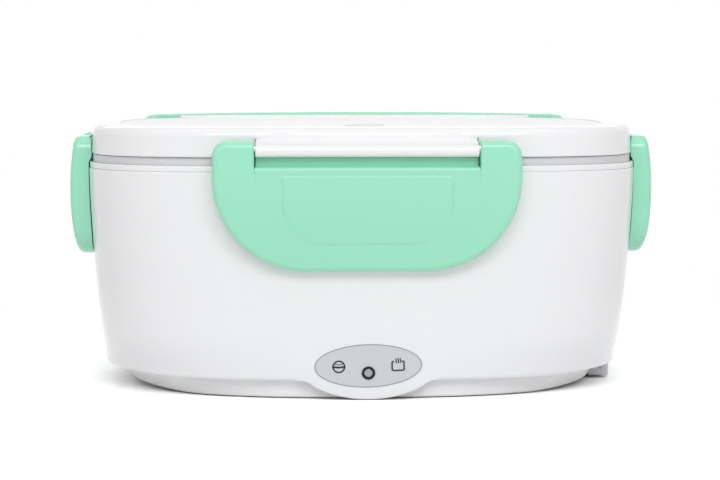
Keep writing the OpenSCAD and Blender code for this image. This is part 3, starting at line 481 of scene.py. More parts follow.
def apron_edge(x):
    """Height of the shell's lower edge along the front: level, then a half ellipse that hangs under the label,
    with a soft hollow where they meet."""
    middle, depth, half, hollow = 15.8, 15.5, 30.5, 2.4
    oval = middle - depth * np.sqrt(np.clip(1 - (x / half) ** 2, 0, 1))
    blend = np.clip(0.5 + 0.5 * (SHELL_LOW - oval) / hollow, 0, 1)
    low = oval * blend + SHELL_LOW * (1 - blend) - hollow * blend * (1 - blend) * 0.5
    return np.where(np.abs(x) < half, np.minimum(low, SHELL_LOW), SHELL_LOW)


def outer_shell():
    """The shell, ring by ring from inside its lower edge, round it, up the wall, over the top edge and down the
    inside. Columns fall evenly across the apron, and the lower edge rises by 1.6 mm towards the sides."""
    half, wall, ease, top_ease = HALF_W - TAPER_X, 2.2, 0.7, 0.6
    x = np.linspace(-40, 40, 97)
    front = -np.arccos(np.abs(x / half) ** (SQUARE_BASE / 2) * np.sign(x))
    t = even_turn()
    keep = (np.abs(half * spow(np.cos(t), SQUARE_BASE)) > 40.5) | (np.sin(t) > 0)
    t = np.unique(np.round(np.concatenate([t[keep], np.mod(front, 2 * PI)]), 7))
    reach = half * spow(np.cos(t), SQUARE_BASE + 0.04)
    is_front = np.sin(t) < 0
    low = np.where(is_front, apron_edge(reach - APRON_X), SHELL_LOW) + 1.6 * smooth(np.abs(reach), 78, 108)
    flat = np.where(is_front, 1 - smooth(np.abs(reach), 26, 40), 0.0)
    share = flat[:, None]
    z_edge = low + ease * (1 - np.sin(np.linspace(0, PI / 2, 5)[:-1, None]))
    curl = ease * (1 - np.sqrt(1 - (1 - (z_edge - low) / ease) ** 2))
    inner = ring(BASE_A + 0.5, BASE_B + 0.5, SQUARE_SKIRT, low, t) * (1 - share)
    inner = (inner + shell_ring(low, wall, t, flat) * share)[None]
    a = np.linspace(0, PI / 2, 6)[:, None]
    return hoop(np.concatenate([
        inner,
        shell_ring(z_edge, curl, t, flat)[::-1],
        shell_ring(FOOT_TOP - np.linspace(1, 0, 15)[:, None] * (FOOT_TOP - low - ease), 0, t, flat),
        shell_ring(np.linspace(FOOT_TOP, BODY_TOP - 1.2, 26)[1:, None], 0, t),
        shell_ring(BODY_TOP - top_ease + top_ease * np.sin(a), top_ease * (1 - np.cos(a)), t),
        shell_ring(np.linspace(BODY_TOP, FOOT_TOP, 12)[:, None], wall, t),
        shell_ring(FOOT_TOP - np.linspace(0, 1, 8)[1:, None] * (FOOT_TOP - low - 1.5), wall, t, flat),
        inner + [0, 0, 1.5],
    ]))


shell = piece("shell", "base", outer_shell(), WHITE, ["outer_shell"])
cut(shell, box((88.3, -14.6, -5), (140, 17.4, 21.3), 0.5))
for turn in (0, 2, 1, 3):
    ledge = np.array([[-2, 88], [0.6, 88.0], [0.9, 88.4], [0.9, 90.6], [0.2, 91], [-2, 91]]) + [EDGE[turn % 2], 0]
    ledge = bar(rounded(ledge, 0.3), (23.1, 8.5)[turn % 2], 0.5, turn)
    piece("catch_ledge_" + SIDES[turn], "base", ledge, WHITE)

collar = rounded([[2.6, 93.2], [2.6, 94.05], [0.25, 94.05], [0.25, 96.5], [12, 96.5], [12, 93.2]],
                 [0.1, 0.1, 0.2, 0.7, 0.5, 0.3], 6)
piece("collar", "base", hoop(loft(collar, *BODY)), WHITE, ["tub_collar"])

tub = rounded([[40, 23], [28, 23], [20, 28], [15, 92.2], [9, 92.2], [9, 94], [16.8, 94], [21.8, 29], [29, 25],
               [40, 25]], [0.3, 2, 5, 1, 0.5, 0.5, 2, 6, 3, 0.3], 6)
tub = hoop(loft(tub, *BODY))
for at in POSTS:
    tub.grid(revolve([[1.5, 4.3], [4, 4.3], [4, 23.5], [1.5, 23.5]], 32) + at, wrap_rows=True)
piece("tub", "base", tub, TUB, ["inner_tub"])


def base_shape():
    """The tray that closes the body from below: a flat floor and a skirt. Towards its lower edge the skirt grows
    rounder at the corners and slightly narrower, and that edge rises by up to 2.1 mm towards the sides."""
    skirt = rounded([[5.2, 2.0], [4.0, 2.0], [3.4, 0.5], [0.0, 0.5], [0, 9.3], [2.8, 9.3], [2.8, 11.5],
                     [4.6, 11.5], [4.6, 4.2]], [0.1, 0.5, 0.5, 1.4, 0.4, 0.1, 0.4, 0.4, 1.5], 8, closed=False)
    under = 1 - smooth(skirt[:, 1:], 0.5, 8.5)
    g = loft(skirt, BASE_A, BASE_B, SQUARE_SKIRT - 0.42 * under)
    g[..., 0] *= 1 - 0.012 * under
    g[..., 2] += 2.1 * smooth(np.abs(g[..., 0]), 68, 104) * under
    return solid(g)


base = piece("base_tray", "base", base_shape(), BASE, ["base_cover"])
cut(base, box((88.3, -14.3, -5), (140, 17, 30), 0.4))
cut(base, box((-4, -80, 8.6), (4, -66, 20), 0.4))
for at in POSTS:
    well = revolve([[0, 0], [3.3, 0], [3.3, 3.4], [1.6, 3.4], [1.6, 6], [0, 6]], 40) + at
    cut(base, Shape().grid(well))


# ---------------------------------------------------------------- label on the lower front

def on_front(p):
    """Points given as across, up and out on the label's plane, put on the leaning lower front. The label sits
    a little askew, turned about its middle."""
    s, c = np.sin(FRONT_LEAN), np.cos(FRONT_LEAN)
    side, level = np.sin(LABEL_TURN), np.cos(LABEL_TURN)
    x, up, out = p[:, 0], p[:, 1] - LABEL_UP, p[:, 2]
    x, up = x * level - up * side, x * side + up * level + LABEL_UP
    return np.stack([APRON_X + x, -FRONT_Y - s * up - c * out, FOOT_TOP + c * up - s * out], -1)


def at_led(p):
    """Points round the indicator's own axis, put on the lower front."""
    return on_front(p + [0, LED_UP, 0])


def oval_disc(a, b, profile):
    """An oval about the label's middle: each [inset, height] of the profile is an ellipse that much inside
    a by b."""
    t = np.linspace(0, 2 * PI, 128, endpoint=False)
    i, h, t = np.broadcast_arrays(profile[:, :1], profile[:, 1:], t)
    return np.stack([(a - i) * np.cos(t), (b - i) * np.sin(t) + LABEL_UP, h], -1)


plate = oval_disc(22, 9, rounded([[0.6, -0.35], [0, -0.35], [0, 0.15], [0.9, 0.15]], [0, 0.05, 0.25, 0], 4, False))
plate = Shape().grid(plate).cap(plate[-1]).cap(plate[0], flip=True).moved(on_front)
piece("label", "base", plate, LABEL, ["indicator_label"])
edge_line = oval_disc(22.05, 9.05, rounded([[0, 0.0], [0, 0.2], [0.38, 0.22], [0.38, 0.0]], 0.08, 3))
piece("label_edge", "base", hoop(edge_line).moved(on_front), RIM)

bezel = rounded([[1.77, -4], [2.25, -4], [2.25, 0.17], [2.75, 0.17], [2.75, 0.62], [1.77, 0.62]],
                [0.1, 0.1, 0.05, 0.05, 0.25, 0.15], 5)
piece("indicator_ring", "base", hoop(revolve(bezel, 64)).moved(at_led), BLACK, ["led_bezel"])
dome = [[1.5, -7], [1.5, -2], [1.74, -2], [1.74, 0.3], [1.6, 0.42], [1.2, 0.52], [0.6, 0.58], [0.02, 0.6]]
piece("indicator_lens", "base", solid(revolve(dome, 48)).moved(at_led), LENS, ["led_lens"])


def ribbon(path, width, closed=False):
    """A thin printed line: the path in across and up, widened to both sides, 0.05 mm proud of the label."""
    p = np.asarray(path, float)
    d = np.roll(p, -1, 0) - np.roll(p, 1, 0) if closed else np.gradient(p, axis=0)
    n = np.stack([-d[:, 1], d[:, 0]], -1) / np.linalg.norm(d, axis=1)[:, None] * width / 2
    corners = ((p - n, 0.1), (p - n, 0.2), (p + n, 0.2), (p + n, 0.1))
    g = np.stack([np.c_[q, np.full(len(p), z)] for q, z in corners])
    s = Shape().grid(g, wrap_rows=True, wrap_cols=closed)
    return s if closed else s.cap(g[:, 0]).cap(g[:, -1], flip=True)


def arc(cx, cy, rx, ry, start, end, count=40):
    """Points on an ellipse from one angle to another, in degrees."""
    a = np.radians(np.linspace(start, end, count))
    return np.stack([cx + rx * np.cos(a), cy + ry * np.sin(a)], -1)


BOWL_X, POT_X, MARK_Y = -12.1, 12.2, -3.6
pot_side = np.array([[-1.6, 1.6], [-2.3, 1.6], [-2.45, 1.3], [-2.45, -1.9], [-2.2, -2.15]])
strokes = [
    (arc(BOWL_X, MARK_Y, 2.35, 2.35, 0, 360, 61)[:-1], 0.66, True),
    (np.array([[-2.8, -0.1], [0, -0.3], [2.8, -0.1]]) + [BOWL_X, MARK_Y], 0.8),
    (arc(BOWL_X - 0.9, MARK_Y + 0.5, 0.7, 0.6, 10, 170, 14), 0.34),
    (arc(BOWL_X + 0.8, MARK_Y + 0.6, 0.6, 0.5, 10, 170, 14), 0.34),
    (np.vstack([pot_side, pot_side[::-1] * [-1, 1]]) + [POT_X, MARK_Y], 0.66),
]
up = np.linspace(0, 1, 17)
for k in (-0.9, 0, 0.9):
    steam = [POT_X + k + 0.22 * np.sin(up * 2 * PI) + 0.25 * up, MARK_Y + 0.9 + 2.0 * up]
    strokes.append((np.stack(steam, -1), 0.5))
marks = Shape().join(*(ribbon(*stroke) for stroke in strokes))
piece("label_symbols", "base", marks.moved(on_front), PRINT)


# ---------------------------------------------------------------- inlet cover

def flap():
    """The soft cover of the power inlet: a plate with eased edges, a chin that runs in behind its lower edge, a
    plug behind its middle, a web and an eye for its pin, and a bead for a finger."""
    plate = rounded([[104.95, 0.8], [108.9, 0.8], [108.9, 7.2], [108.3, 9.2], [108.3, 21], [104.95, 21]], 1.2, 5)
    chin = rounded([[99.8, 1.0], [107.0, 1.0], [107.0, 4.1], [99.8, 4.1]], 0.9, 5)
    s = bar(plate, 12.9, 1.0, 1).join(
        bar(chin, 12.75, 0.9, 1),
        box((102.7, -7.5, 8), (105.4, 8.5, 16), 0.6),
        box((104.95, 11.9, 5.75), (106.75, 14.9, 17.65), 0.5),
        box((107.8, -11.5, 9), (109.2, -9.1, 14.5), 0.5),
    )

    def thinned(points):
        """The block moved to its place, and its outer face taken back near the pin to leave it room to swing."""
        p = points - [0, 0.5, 0]
        p[:, 0] -= 1.4 * smooth(p[:, 1], 6, 9.5) * smooth(p[:, 0], 105.5, 107)
        return p

    eye = revolve(rounded([[0.85, 5.75], [1.6, 5.75], [1.6, 17.65], [0.85, 17.65]], 0.2, 3), 40)
    return s.moved(thinned).grid(eye + [106.4, 14.6, 0], wrap_rows=True)


piece("inlet_flap_cover", "inlet_flap", flap(), SEAL, ["inlet_cover"])


# ---------------------------------------------------------------- container and tray

steel = rounded([[30.7, 28.2], [25.7, 30.2], [23.7, 35.2], [18.7, 94.2], [12.6, 94.2], [12.6, 95.2], [19.7, 95.2],
                 [24.7, 35.2], [26.7, 30.8], [30.7, 29.2]],
                [1, 2, 3, 0.8, 0.4, 0.4, 1.6, 3, 2, 0.5], 6, closed=False)
steel = solid(loft(steel, *BODY))
piece("steel_container", "container", steel, STEEL, ["food_container"])

TRAY_LOW = 29.3
dish = np.array([[8, 0], [4, 1.2], [2.4, 5], [1.6, 43], [0, 43], [0, 45], [3.2, 45], [4, 6], [6.6, 1.6]])
dish = rounded(dish + [0, TRAY_LOW], [1, 1.5, 3, 0.6, 0.4, 0.7, 1.2, 3, 1.5], 6, closed=False)
piece("white_tray", "tray", solid(loft(dish, 34, 51, 4) + [50, 0, 0]), TRAY, ["side_tray"])


# ---------------------------------------------------------------- lid

def lid_inset(x, y):
    """How far inside the lid's outline a point lies: the s at which the outline shrunk by s passes through it,
    found by halving."""
    low, high = np.zeros_like(x), np.full_like(x, 22.0)
    for _ in range(34):
        s = (low + high) / 2
        inside = (np.abs(x) / (LID_X - s)) ** SQUARE_TOP + (np.abs(y) / (LID_B - s)) ** SQUARE_TOP < 1
        low, high = np.where(inside, s, low), np.where(inside, high, s)
    return low


def lid_height(x, y):
    """Height of the lid's border: a quarter of a squarish ellipse, power 2.4, of the inset past the wall's draft,
    then level."""
    s = np.clip(lid_inset(x, y) - LID_DRAFT, 0, LID_ROUND)
    drop = LID_TOP - LID_LOW - LID_STRAIGHT
    return LID_LOW + LID_STRAIGHT + drop * (1 - (1 - s / LID_ROUND) ** 2.4) ** (1 / 2.4)


def strap_line(t):
    """The middle of the handle's path in plan and its outward normal, from the superellipse's gradient."""
    x, y = STRAP_A * spow(np.cos(t), SQUARE_TOP), STRAP_B * spow(np.sin(t), SQUARE_TOP)
    k = SQUARE_TOP - 1
    gx = np.sign(x) * np.abs(x / STRAP_A) ** k / STRAP_A
    gy = np.sign(y) * np.abs(y / STRAP_B) ** k / STRAP_B
    size = np.hypot(gx, gy)
    return np.stack([x, y], -1), np.stack([gx, gy], -1) / size[..., None]


def strap_heights(x, y):
    """Lower and upper face of the handle: it rises round the back, and the grip between the ends of the ridge
    stands a little higher, with a slight bow."""
    up = smooth(y, STRAP_B - 21.5, STRAP_B - 16)
    mid = smooth(-np.abs(x), -GRIP_HALF - STRAP_H, -GRIP_HALF + 2)
    low = STRAP_LOW + 2.4 * up + 1.5 * mid
    high = STRAP_LOW + STRAP_H - 1.6 + 4.8 * up + 0.6 * mid * (1 - (x / GRIP_HALF) ** 2)
    return low, high


def beside_strap(mid, normal, off, z):
    """A solid along the handle's path: its sections lie off by these distances, at heights z."""
    return solid(np.dstack([mid[:, None] + normal[:, None] * off[None, :, None], z]))


def side_turns(ys, b):
    """Angles at which a superellipse of half depth b has these distances behind the middle, on the right."""
    return np.arcsin((np.asarray(ys, float) / b) ** (SQUARE_TOP / 2))


def lid_turns():
    """Angles for the lid: even ones, and closer ones at the ends of the handle's groove, of the lips and of the
    latches."""
    groove = side_turns([3, 5.5, 7.3, 7.75, 7.95, 8.2, 8.8, 9.6, 10.6, 12, 13.5, 15.5, 18, 21], STRAP_B)
    side = side_turns([15, 16.8, 17.0, 17.2, 20, 24, 28, 31.3, 31.6, 33], LID_B)
    front = np.arccos((np.array([44, 46.0, 46.2, 46.4, 50, 54, 58, 62.8, 63.1, 65]) / LID_A) ** (SQUARE_TOP / 2))
    near = np.concatenate([side, front])
    all_t = np.concatenate([even_turn(320), groove, PI - groove, near, PI - near, PI + near, -near])
    return np.unique(np.round(np.mod(all_t, 2 * PI), 6))


def lid_shape():
    """The lid's frame, ring by ring from the inside of its skirt, round its lower edge, up the rounded border,
    through the handle's groove and down into the panel's recess. On the border, points go in straight lines
    from the outline to the groove's outer edge, its inner edge and the recess, and the height there is the
    lower of the border and the groove's floor. Along the front, where there is no groove, set insets take the
    place of its edges."""
    t = lid_turns()
    back = np.sin(t) > 0

    def plan(a, b, inset):
        """A superellipse that much inside a by b, in plan."""
        return ring(a - inset, b - inset, SQUARE_TOP, 0.0, t)[:, :2]

    outline, recess = plan(LID_X, LID_B, LID_DRAFT), plan(LID_A, LID_B, RECESS)
    mid, normal = strap_line(t)
    y = mid[:, 1]
    outer, inner = mid + normal * GROOVE_HALF, mid - normal * GROOVE_HALF
    no_floor = 300.0
    floor = strap_heights(mid[:, 0], y)[0] - GAP
    eye = HANDLE_Z - np.sqrt(np.clip((EYE_R + GAP) ** 2 - (y - HANDLE_Y) ** 2, 0, None))
    beside_eye = np.minimum(eye, np.where(y > HANDLE_Y, floor, no_floor))
    floor = np.where(y < HANDLE_Y + 4, beside_eye, floor)
    floor = np.where(back & (y > 7.9), floor, no_floor)
    rim = np.linalg.norm(outline - mid, axis=1) - GROOVE_HALF
    open_rim = np.where(back & (y > 30), 1 - smooth(rim, 2.2, 3.4), 0.0)
    outer = outer - normal * (1.2 * open_rim)[:, None]
    g = smooth(outline[:, 1], -14, 4)[:, None]
    outer = plan(LID_A, LID_B, 4.3) * (1 - g) + outer * g
    inner = plan(LID_A, LID_B, 12.4) * (1 - g) + inner * g

    def row(p, drop=0.0, rise=0.0, low_rim=False):
        """A ring on the border at plan points p, at most drop below it and at least rise above the floor. Where
        the rim behind the groove would be thin it goes down to the groove's floor."""
        top = lid_height(p[:, 0], p[:, 1])
        if low_rim:
            level = np.minimum(top, floor - 0.25 + 0.15 * (top - LID_LOW - LID_STRAIGHT))
            top = top * (1 - open_rim) + level * open_rim
        return np.c_[p, np.minimum(top, np.maximum(top - drop, floor + rise))]

    hidden = [[17, 108.4], [14.2, 108.4], [14, 108.2], [14, 102.1], [13.8, 101.9], [2.4, 101.9], [2.2, 101.7],
              [2.2, 100.2], [2.0, 99.95], [1.7, 99.9], [1.2, 99.9], [0.95, 99.93], [0.7, 100.05], [0.55, 100.25]]
    hidden += [[0.5 + (LID_DRAFT - 0.5) * k, 100.5 + 6.9 * k] for k in np.linspace(0, 1, 15)]
    rows = list(loft(hidden, LID_X, LID_B, SQUARE_TOP, t))
    for k in np.linspace(0, 1, 22)[:-1] ** 2:
        rows.append(row(outline + (outer - outline) * k, low_rim=True))
    along = (inner - outer) / np.linalg.norm(inner - outer, axis=1)[:, None]
    down = 99
    groove_edge = ((-0.35, 0, 0), (-0.15, 0.06, 0), (-0.03, 0.25, 0), (0.0, 0.5, 0),
                   (0.02, down, 0.5), (0.06, down, 0.22), (0.2, down, 0.05), (0.4, down, 0))
    for off, drop, rise in groove_edge:
        rows.append(row(outer + along * off, drop, rise, True))
    for k in np.linspace(0.07, 0.93, 11):
        rows.append(row(outer + (inner - outer) * k, down))
    for off, drop, rise in groove_edge[::-1]:
        rows.append(row(inner - along * off, drop, rise))
    for k in (0.5, 0.8):
        rows.append(row(inner + (recess - inner) * k))
    step = [[13.2, LID_TOP], [13.38, LID_TOP - 0.04], [13.48, LID_TOP - 0.2], [RECESS, 110.2], [13.6, 110.1],
            [17, 110.1]]
    rows.extend(loft(step, *LID, t))
    return hoop(np.array(rows))


def vent_hole(r, low, high, count):
    """An upright cylinder where the vent goes through, to be cut out."""
    return Shape().grid(revolve([[0, low], [r, low], [r, high], [0, high]], count) + VENT_AT)


piece("lid_frame", "lid", lid_shape(), WHITE, ["lid_cover"])
panel = rounded([[18, 110.15], [0.0, 110.15], [0.0, 112.0], [18, 112.05]], [0.1, 0.1, 0.45, 0.1], 6, closed=False)
panel = solid(loft(panel, LID_A - 13.6, LID_B - 13.6, SQUARE_TOP))
cut(piece("top_panel", "lid", panel, PANEL, ["lid_panel"]), vent_hole(7.0, 100, 118, 64))


def lip(edge, start, lead_in):
    """Section of a lip: a cubic Bezier curve leaves the border's rounding and runs down and out, an arc goes round
    the hinge line, and straight lines turn back below."""
    a = np.radians(np.linspace(75, -90, 26))
    barrel = np.stack([edge + PIVOT_OUT + 2.6 * np.cos(a), 102.75 + 2.55 * np.sin(a)], -1)
    s = np.linspace(0, 1, 16)[:, None]
    start, lead_in, end = np.array(start) + [edge, 0], np.array(lead_in) + [edge, 0], barrel[0]
    lead_out = end + [-4.9, 0.4]
    curve = (1 - s) ** 3 * start + 3 * s * (1 - s) ** 2 * lead_in + 3 * s * s * (1 - s) * lead_out + s**3 * end
    under = [[edge + PIVOT_OUT - 1.5, 100.2], [edge - 0.6, 100.2], [edge - 1.5, 100.6], [edge - 1.6, 102],
             [start[0], 104]]
    return np.vstack([curve[:-1], barrel, under])


for turn in range(4):
    lead = (((-2.4, 111.22), (-0.2, 108.2)), ((-1.2, 108.4), (-0.4, 106.6)))[turn % 2]
    section = lip(EDGE[turn % 2], *lead)
    sink = 2.2 * smooth(section[:, 1], 105.2, 108.5)
    piece("lip_" + SIDES[turn], "lid", bar(section, LIP_HALF[turn % 2], 0.4, turn, sink), WHITE)


def ridge():
    """The low ridge along the inner edge of the handle's groove: a rounded section along the groove, whose
    height falls smoothly to nothing at both ends."""
    end = np.arccos((GRIP_HALF / STRAP_A) ** (SQUARE_TOP / 2))
    mid, normal = strap_line(end + cosine(120) * (PI - 2 * end))
    rise = np.clip(np.sin(np.linspace(0, PI, 120)) * 9, 0, 1) ** 0.5
    a = np.linspace(0, PI, 13)
    across = np.concatenate([[-1.4], -1.4 * np.cos(a), [1.4]])
    up = np.concatenate([[-2.0], np.sin(a), [-2.0]])
    z = LID_TOP + np.minimum(up, 0)[None] + np.clip(up, 0, None)[None] ** 0.6 * rise[:, None] - 0.05
    return beside_strap(mid, normal, -GROOVE_HALF - 1.3 + across, z)


piece("handle_ridge", "lid", ridge(), WHITE)

liner = rounded([[17, 105.6], [15, 99.8], [13.3, 96.8], [11.3, 96.8], [11.3, 98.5], [5.2, 98.5], [5.2, 96.53],
                 [2.1, 96.53], [2.1, 99.7], [3.4, 99.7], [3.4, 101.8], [14.5, 101.8], [14.9, 105.4],
                 [15.4, 107.4]],
                [1, 1, 0.5, 0.4, 0.2, 0.2, 0.4, 0.2, 0.2, 0.03, 0.4, 0.4, 0.6, 0.4], 5, closed=False)
liner = solid(loft(liner, *LID))
cut(piece("liner_band", "lid", liner, LINER, ["lid_liner"]), vent_hole(4, 102, 112, 48))

seal = rounded([[8.2, 97.55], [7.4, 96.55], [5.8, 96.55], [5.3, 98.4], [11.2, 98.4], [10.6, 96.55], [9, 96.55]],
               0.25, 4)
piece("soft_seal", "lid", hoop(loft(seal, *LID)), MILKY, ["lid_gasket"])

seat = rounded([[5.6, 107.8], [6.9, 107.8], [6.9, 112.03], [8.6, 112.03], [8.0, 112.55], [6.6, 112.85],
                [5.6, 112.85]], [0.2, 0.2, 0.1, 0.2, 0.5, 0.5, 0.3], 6)
piece("vent_ring", "lid", hoop(revolve(seat) + VENT_AT), VENT, ["vent_seat"])
plug = rounded([[0.02, 107.6], [3.4, 107.6], [3.4, 109.0], [2.4, 109.8], [2.4, 110.8], [5.3, 110.8], [5.3, 112.9],
                [4.4, 113.2], [2.6, 113.4], [0.02, 113.45]],
               [0, 0.3, 0.4, 0.4, 0.2, 0.4, 0.4, 0.6, 0.8, 0], 5, closed=False)
piece("vent_button", "vent", solid(revolve(plug) + VENT_AT), MILKY, ["vent_plug"])


# ---------------------------------------------------------------- handle

def handle():
    """A strap with a rounded section along the back of the lid, with round ends about its two pivots."""
    side = side_turns([8.55, 8.75, 9.1, 9.7, 10.6, 12, 13.5, 15, 17, 20, 24, 29, 35, 41, 47], STRAP_B)
    t = np.concatenate([side, np.linspace(side[-1], PI - side[-1], 190)[1:-1], PI - side[::-1]])
    mid, normal = strap_line(t)
    y = mid[:, 1]
    low, high = strap_heights(mid[:, 0], y)
    bulge = np.sqrt(np.clip(EYE_R**2 - (y - HANDLE_Y) ** 2, 0.01, None))
    w = smooth(y, HANDLE_Y, HANDLE_Y + 5)
    low = np.where(y < HANDLE_Y, HANDLE_Z - bulge, HANDLE_Z - EYE_R + (low - HANDLE_Z + EYE_R) * w)
    high = np.where(y < HANDLE_Y, HANDLE_Z + bulge, HANDLE_Z + EYE_R + (high - HANDLE_Z - EYE_R) * w)
    a = np.linspace(0, 2 * PI, 40, endpoint=False)
    across, up = spow(np.cos(a), 4.5), spow(np.sin(a), 4.5)
    z = ((high + low) / 2)[:, None] + ((high - low) / 2)[:, None] * up[None]
    return beside_strap(mid, normal, across * STRAP_W / 2, z)


piece("bail_handle", "handle", handle(), MINT, ["carry_handle"])


# ---------------------------------------------------------------- latches

NOTCH, BOW_Z = 96.5, 84.0
LATCH_WALL, LATCH_EASE, SHOULDER, EAR_EASE = 2.2, 2.3, 6.2, 1.6
HOOK_LOW, HOOK_HIGH = 84.5, 87.3


def round_box(x, z, half, low, high, corner, top_corner):
    """Signed distance to a plate with round lower and upper corners, above 0 inside."""
    lower = z < low + corner
    r = np.where(lower, corner, top_corner)
    qx = np.abs(x) - half + r
    qz = np.where(lower, low + corner - z, z - high + top_corner)
    outside = np.hypot(np.clip(qx, 0, None), np.clip(qz, 0, None)) + np.minimum(np.maximum(qx, qz), 0) - r
    return -outside


def wall_out(x, z, turn):
    """How far out the wall behind a latch stands at a place across a side and a height: the body's wall, and
    from the collar up the lid's."""
    near, far = ((HALF_D, HALF_W), (HALF_W, HALF_D))[turn % 2]
    near_taper, far_taper = ((TAPER_Y, TAPER_X), (TAPER_X, TAPER_Y))[turn % 2]
    lid_step = near - (LID_B, LID_X)[turn % 2] + 0.5
    near_in = near_taper * lean(z) + lid_step * smooth(z, 95.5, 98.5)
    across = np.abs(x) / (far - far_taper * lean(z))
    return (near - near_in) * (1 - across**SQUARE_TOP) ** (1 / SQUARE_TOP)


def border(g):
    """The closed loop of a grid's outer points."""
    return np.concatenate([g[0], g[1:, -1], g[-1, -2::-1], g[-2:0:-1, 0]])


def latch(turn, half, low_end, top_end, corner, bulge, bow, panel_half, panel_corner):
    """A bowed cap over a round-cornered outline with two shoulders.

    Columns go across and rows up. Every column runs from the lower outline to the upper one, which jumps from
    the notch to the shoulders. The face lies on a large circle and curls in at the rim by a quarter circle, and
    a shallow groove outlines its raised panel. The back follows the wall behind it, and inside the rim it lies
    one wall behind the face.
    """
    edge, lip_half = EDGE[turn % 2], LIP_HALF[turn % 2]
    lip = lip_half + 0.3
    right = np.concatenate([
        np.linspace(0, panel_half - 1, 22), np.linspace(panel_half - 0.9, panel_half + 0.9, 9),
        np.linspace(panel_half + 1.4, lip - 2.2, 10), lip - np.array([1.8, 1.3, 0.9, 0.6, 0.4, 0.25, 0.12, 0.05]),
        [lip], lip + EAR_EASE * cosine(13)[1:], np.linspace(lip + 2.0, half - SHOULDER, 8),
        half - SHOULDER + SHOULDER * np.sin(np.linspace(0, PI / 2, 22))[1:],
    ])
    x = np.concatenate([-right[:0:-1], right])
    ax = np.abs(x)
    low = low_end + corner - np.sqrt(np.clip(corner**2 - np.clip(ax - (half - corner), 0, None) ** 2, 0, None))
    past = np.clip(ax - (half - SHOULDER), 0, None)
    ear = top_end - SHOULDER + np.sqrt(np.clip(SHOULDER**2 - past**2, 0, None))
    short = np.clip(lip + EAR_EASE - ax, 0, EAR_EASE)
    ear = ear - EAR_EASE + np.sqrt(np.clip(EAR_EASE**2 - short**2, 0, None))
    top = np.where(ax < lip - 1e-6, NOTCH, ear)
    v = np.concatenate([cosine(60), np.linspace(0.9, 0.94, 9), np.linspace(0.2, 0.3, 5)])
    v = np.unique(np.round(v, 5))[:, None]
    z = low[None] + v * (top - low)[None]
    x = np.broadcast_to(x[None], z.shape)
    ax = np.abs(x)

    whole = round_box(x, z, half, low_end, top_end, corner, SHOULDER)
    notch = np.hypot(np.clip(ax - lip, 0, None), np.clip(NOTCH - z, 0, None))
    notch = np.where((ax < lip) & (z > NOTCH), 0, notch)
    d = np.clip(np.minimum(whole, 2 * notch), 0, None)
    curl = LATCH_EASE - np.sqrt(np.clip(LATCH_EASE**2 - np.clip(LATCH_EASE - d, 0, None) ** 2, 0, None))
    face = edge + bulge - bow + np.sqrt(bow**2 - (z - BOW_Z) ** 2)
    panel = round_box(x, z, panel_half, low_end + 11.2, NOTCH - 3.4, panel_corner, 1.5)
    groove = np.exp(-((panel / 0.5) ** 2)) * 0.2
    raised = smooth(panel, 0.0, 0.8) * 0.36
    out = face - curl - groove + raised

    back = wall_out(x, z, turn) + 0.25
    room = edge + PIVOT_OUT - back
    back = edge + PIVOT_OUT - np.sqrt(np.clip(room**2 - 1.1 * np.clip(z - PIVOT_Z, 0, None) ** 2, 0.5, None))
    hollow = round_box(x, z, half - LATCH_WALL, low_end + LATCH_WALL, NOTCH - LATCH_WALL, corner - LATCH_WALL, 0.8)
    deeper = np.clip(face - LATCH_WALL - back, 0, None)
    back = back + deeper * smooth(hollow, 0, 0.7) * (z < NOTCH - 1)

    outer, inner = np.stack([x, -out, z], -1), np.stack([x, -back, z], -1)
    s = Shape().grid(outer, wrap_cols=False).grid(inner, wrap_cols=False, flip=True)
    s.grid(np.stack([border(outer), border(inner)]), flip=True)
    hook = [[1.25, HOOK_LOW + 0.4], [6, HOOK_LOW], [6, HOOK_HIGH], [1.25, HOOK_HIGH - 0.1]]
    hook = rounded(np.array(hook) + [edge, 0], [0.5, 0.1, 0.1, 0.4], 4)
    web = rounded(np.array([[0.4, 95.5], [1.6, 95.5], [1.6, 100.0], [0.4, 100.0]]) + [edge, 0], 0.3, 3)
    return s.join(bar(hook, lip_half * 0.6, 0.4), bar(web, lip_half, 0.3)).turned(turn)


LATCH_SIZES = (
    dict(half=62.5, low_end=53.8, top_end=106.8, corner=38.7, bulge=7.8, bow=110,
         panel_half=34.6, panel_corner=16.5),
    dict(half=31.0, low_end=56.1, top_end=107.1, corner=15.0, bulge=7.1, bow=130,
         panel_half=13.0, panel_corner=8.0),
)
for turn, name in enumerate(("front", "right", "rear", "left")):
    cap = latch(turn, **LATCH_SIZES[turn % 2])
    piece("clasp_" + name, name + "_latch", cap, MINT, ["latch_" + name])


# ---------------------------------------------------------------- stage, light and camera

FLOOR_LIFT, FLOOR_TONE = 0.5, 0.92
AIM = Vector((0, 0, 0.05))
FOCAL_PIXELS, PHOTO_PIXELS, SENSOR = 2342.0, 720.0, 36.0


def ray_is(tree, *kinds):
    """1 for rays of these kinds, else 0."""
    path = node(tree, "LightPath").outputs
    seen = path[kinds[0]]
    for kind in kinds[1:]:
        seen = maths(tree, "MAXIMUM", [(0, seen), (1, path[kind])])
    return seen


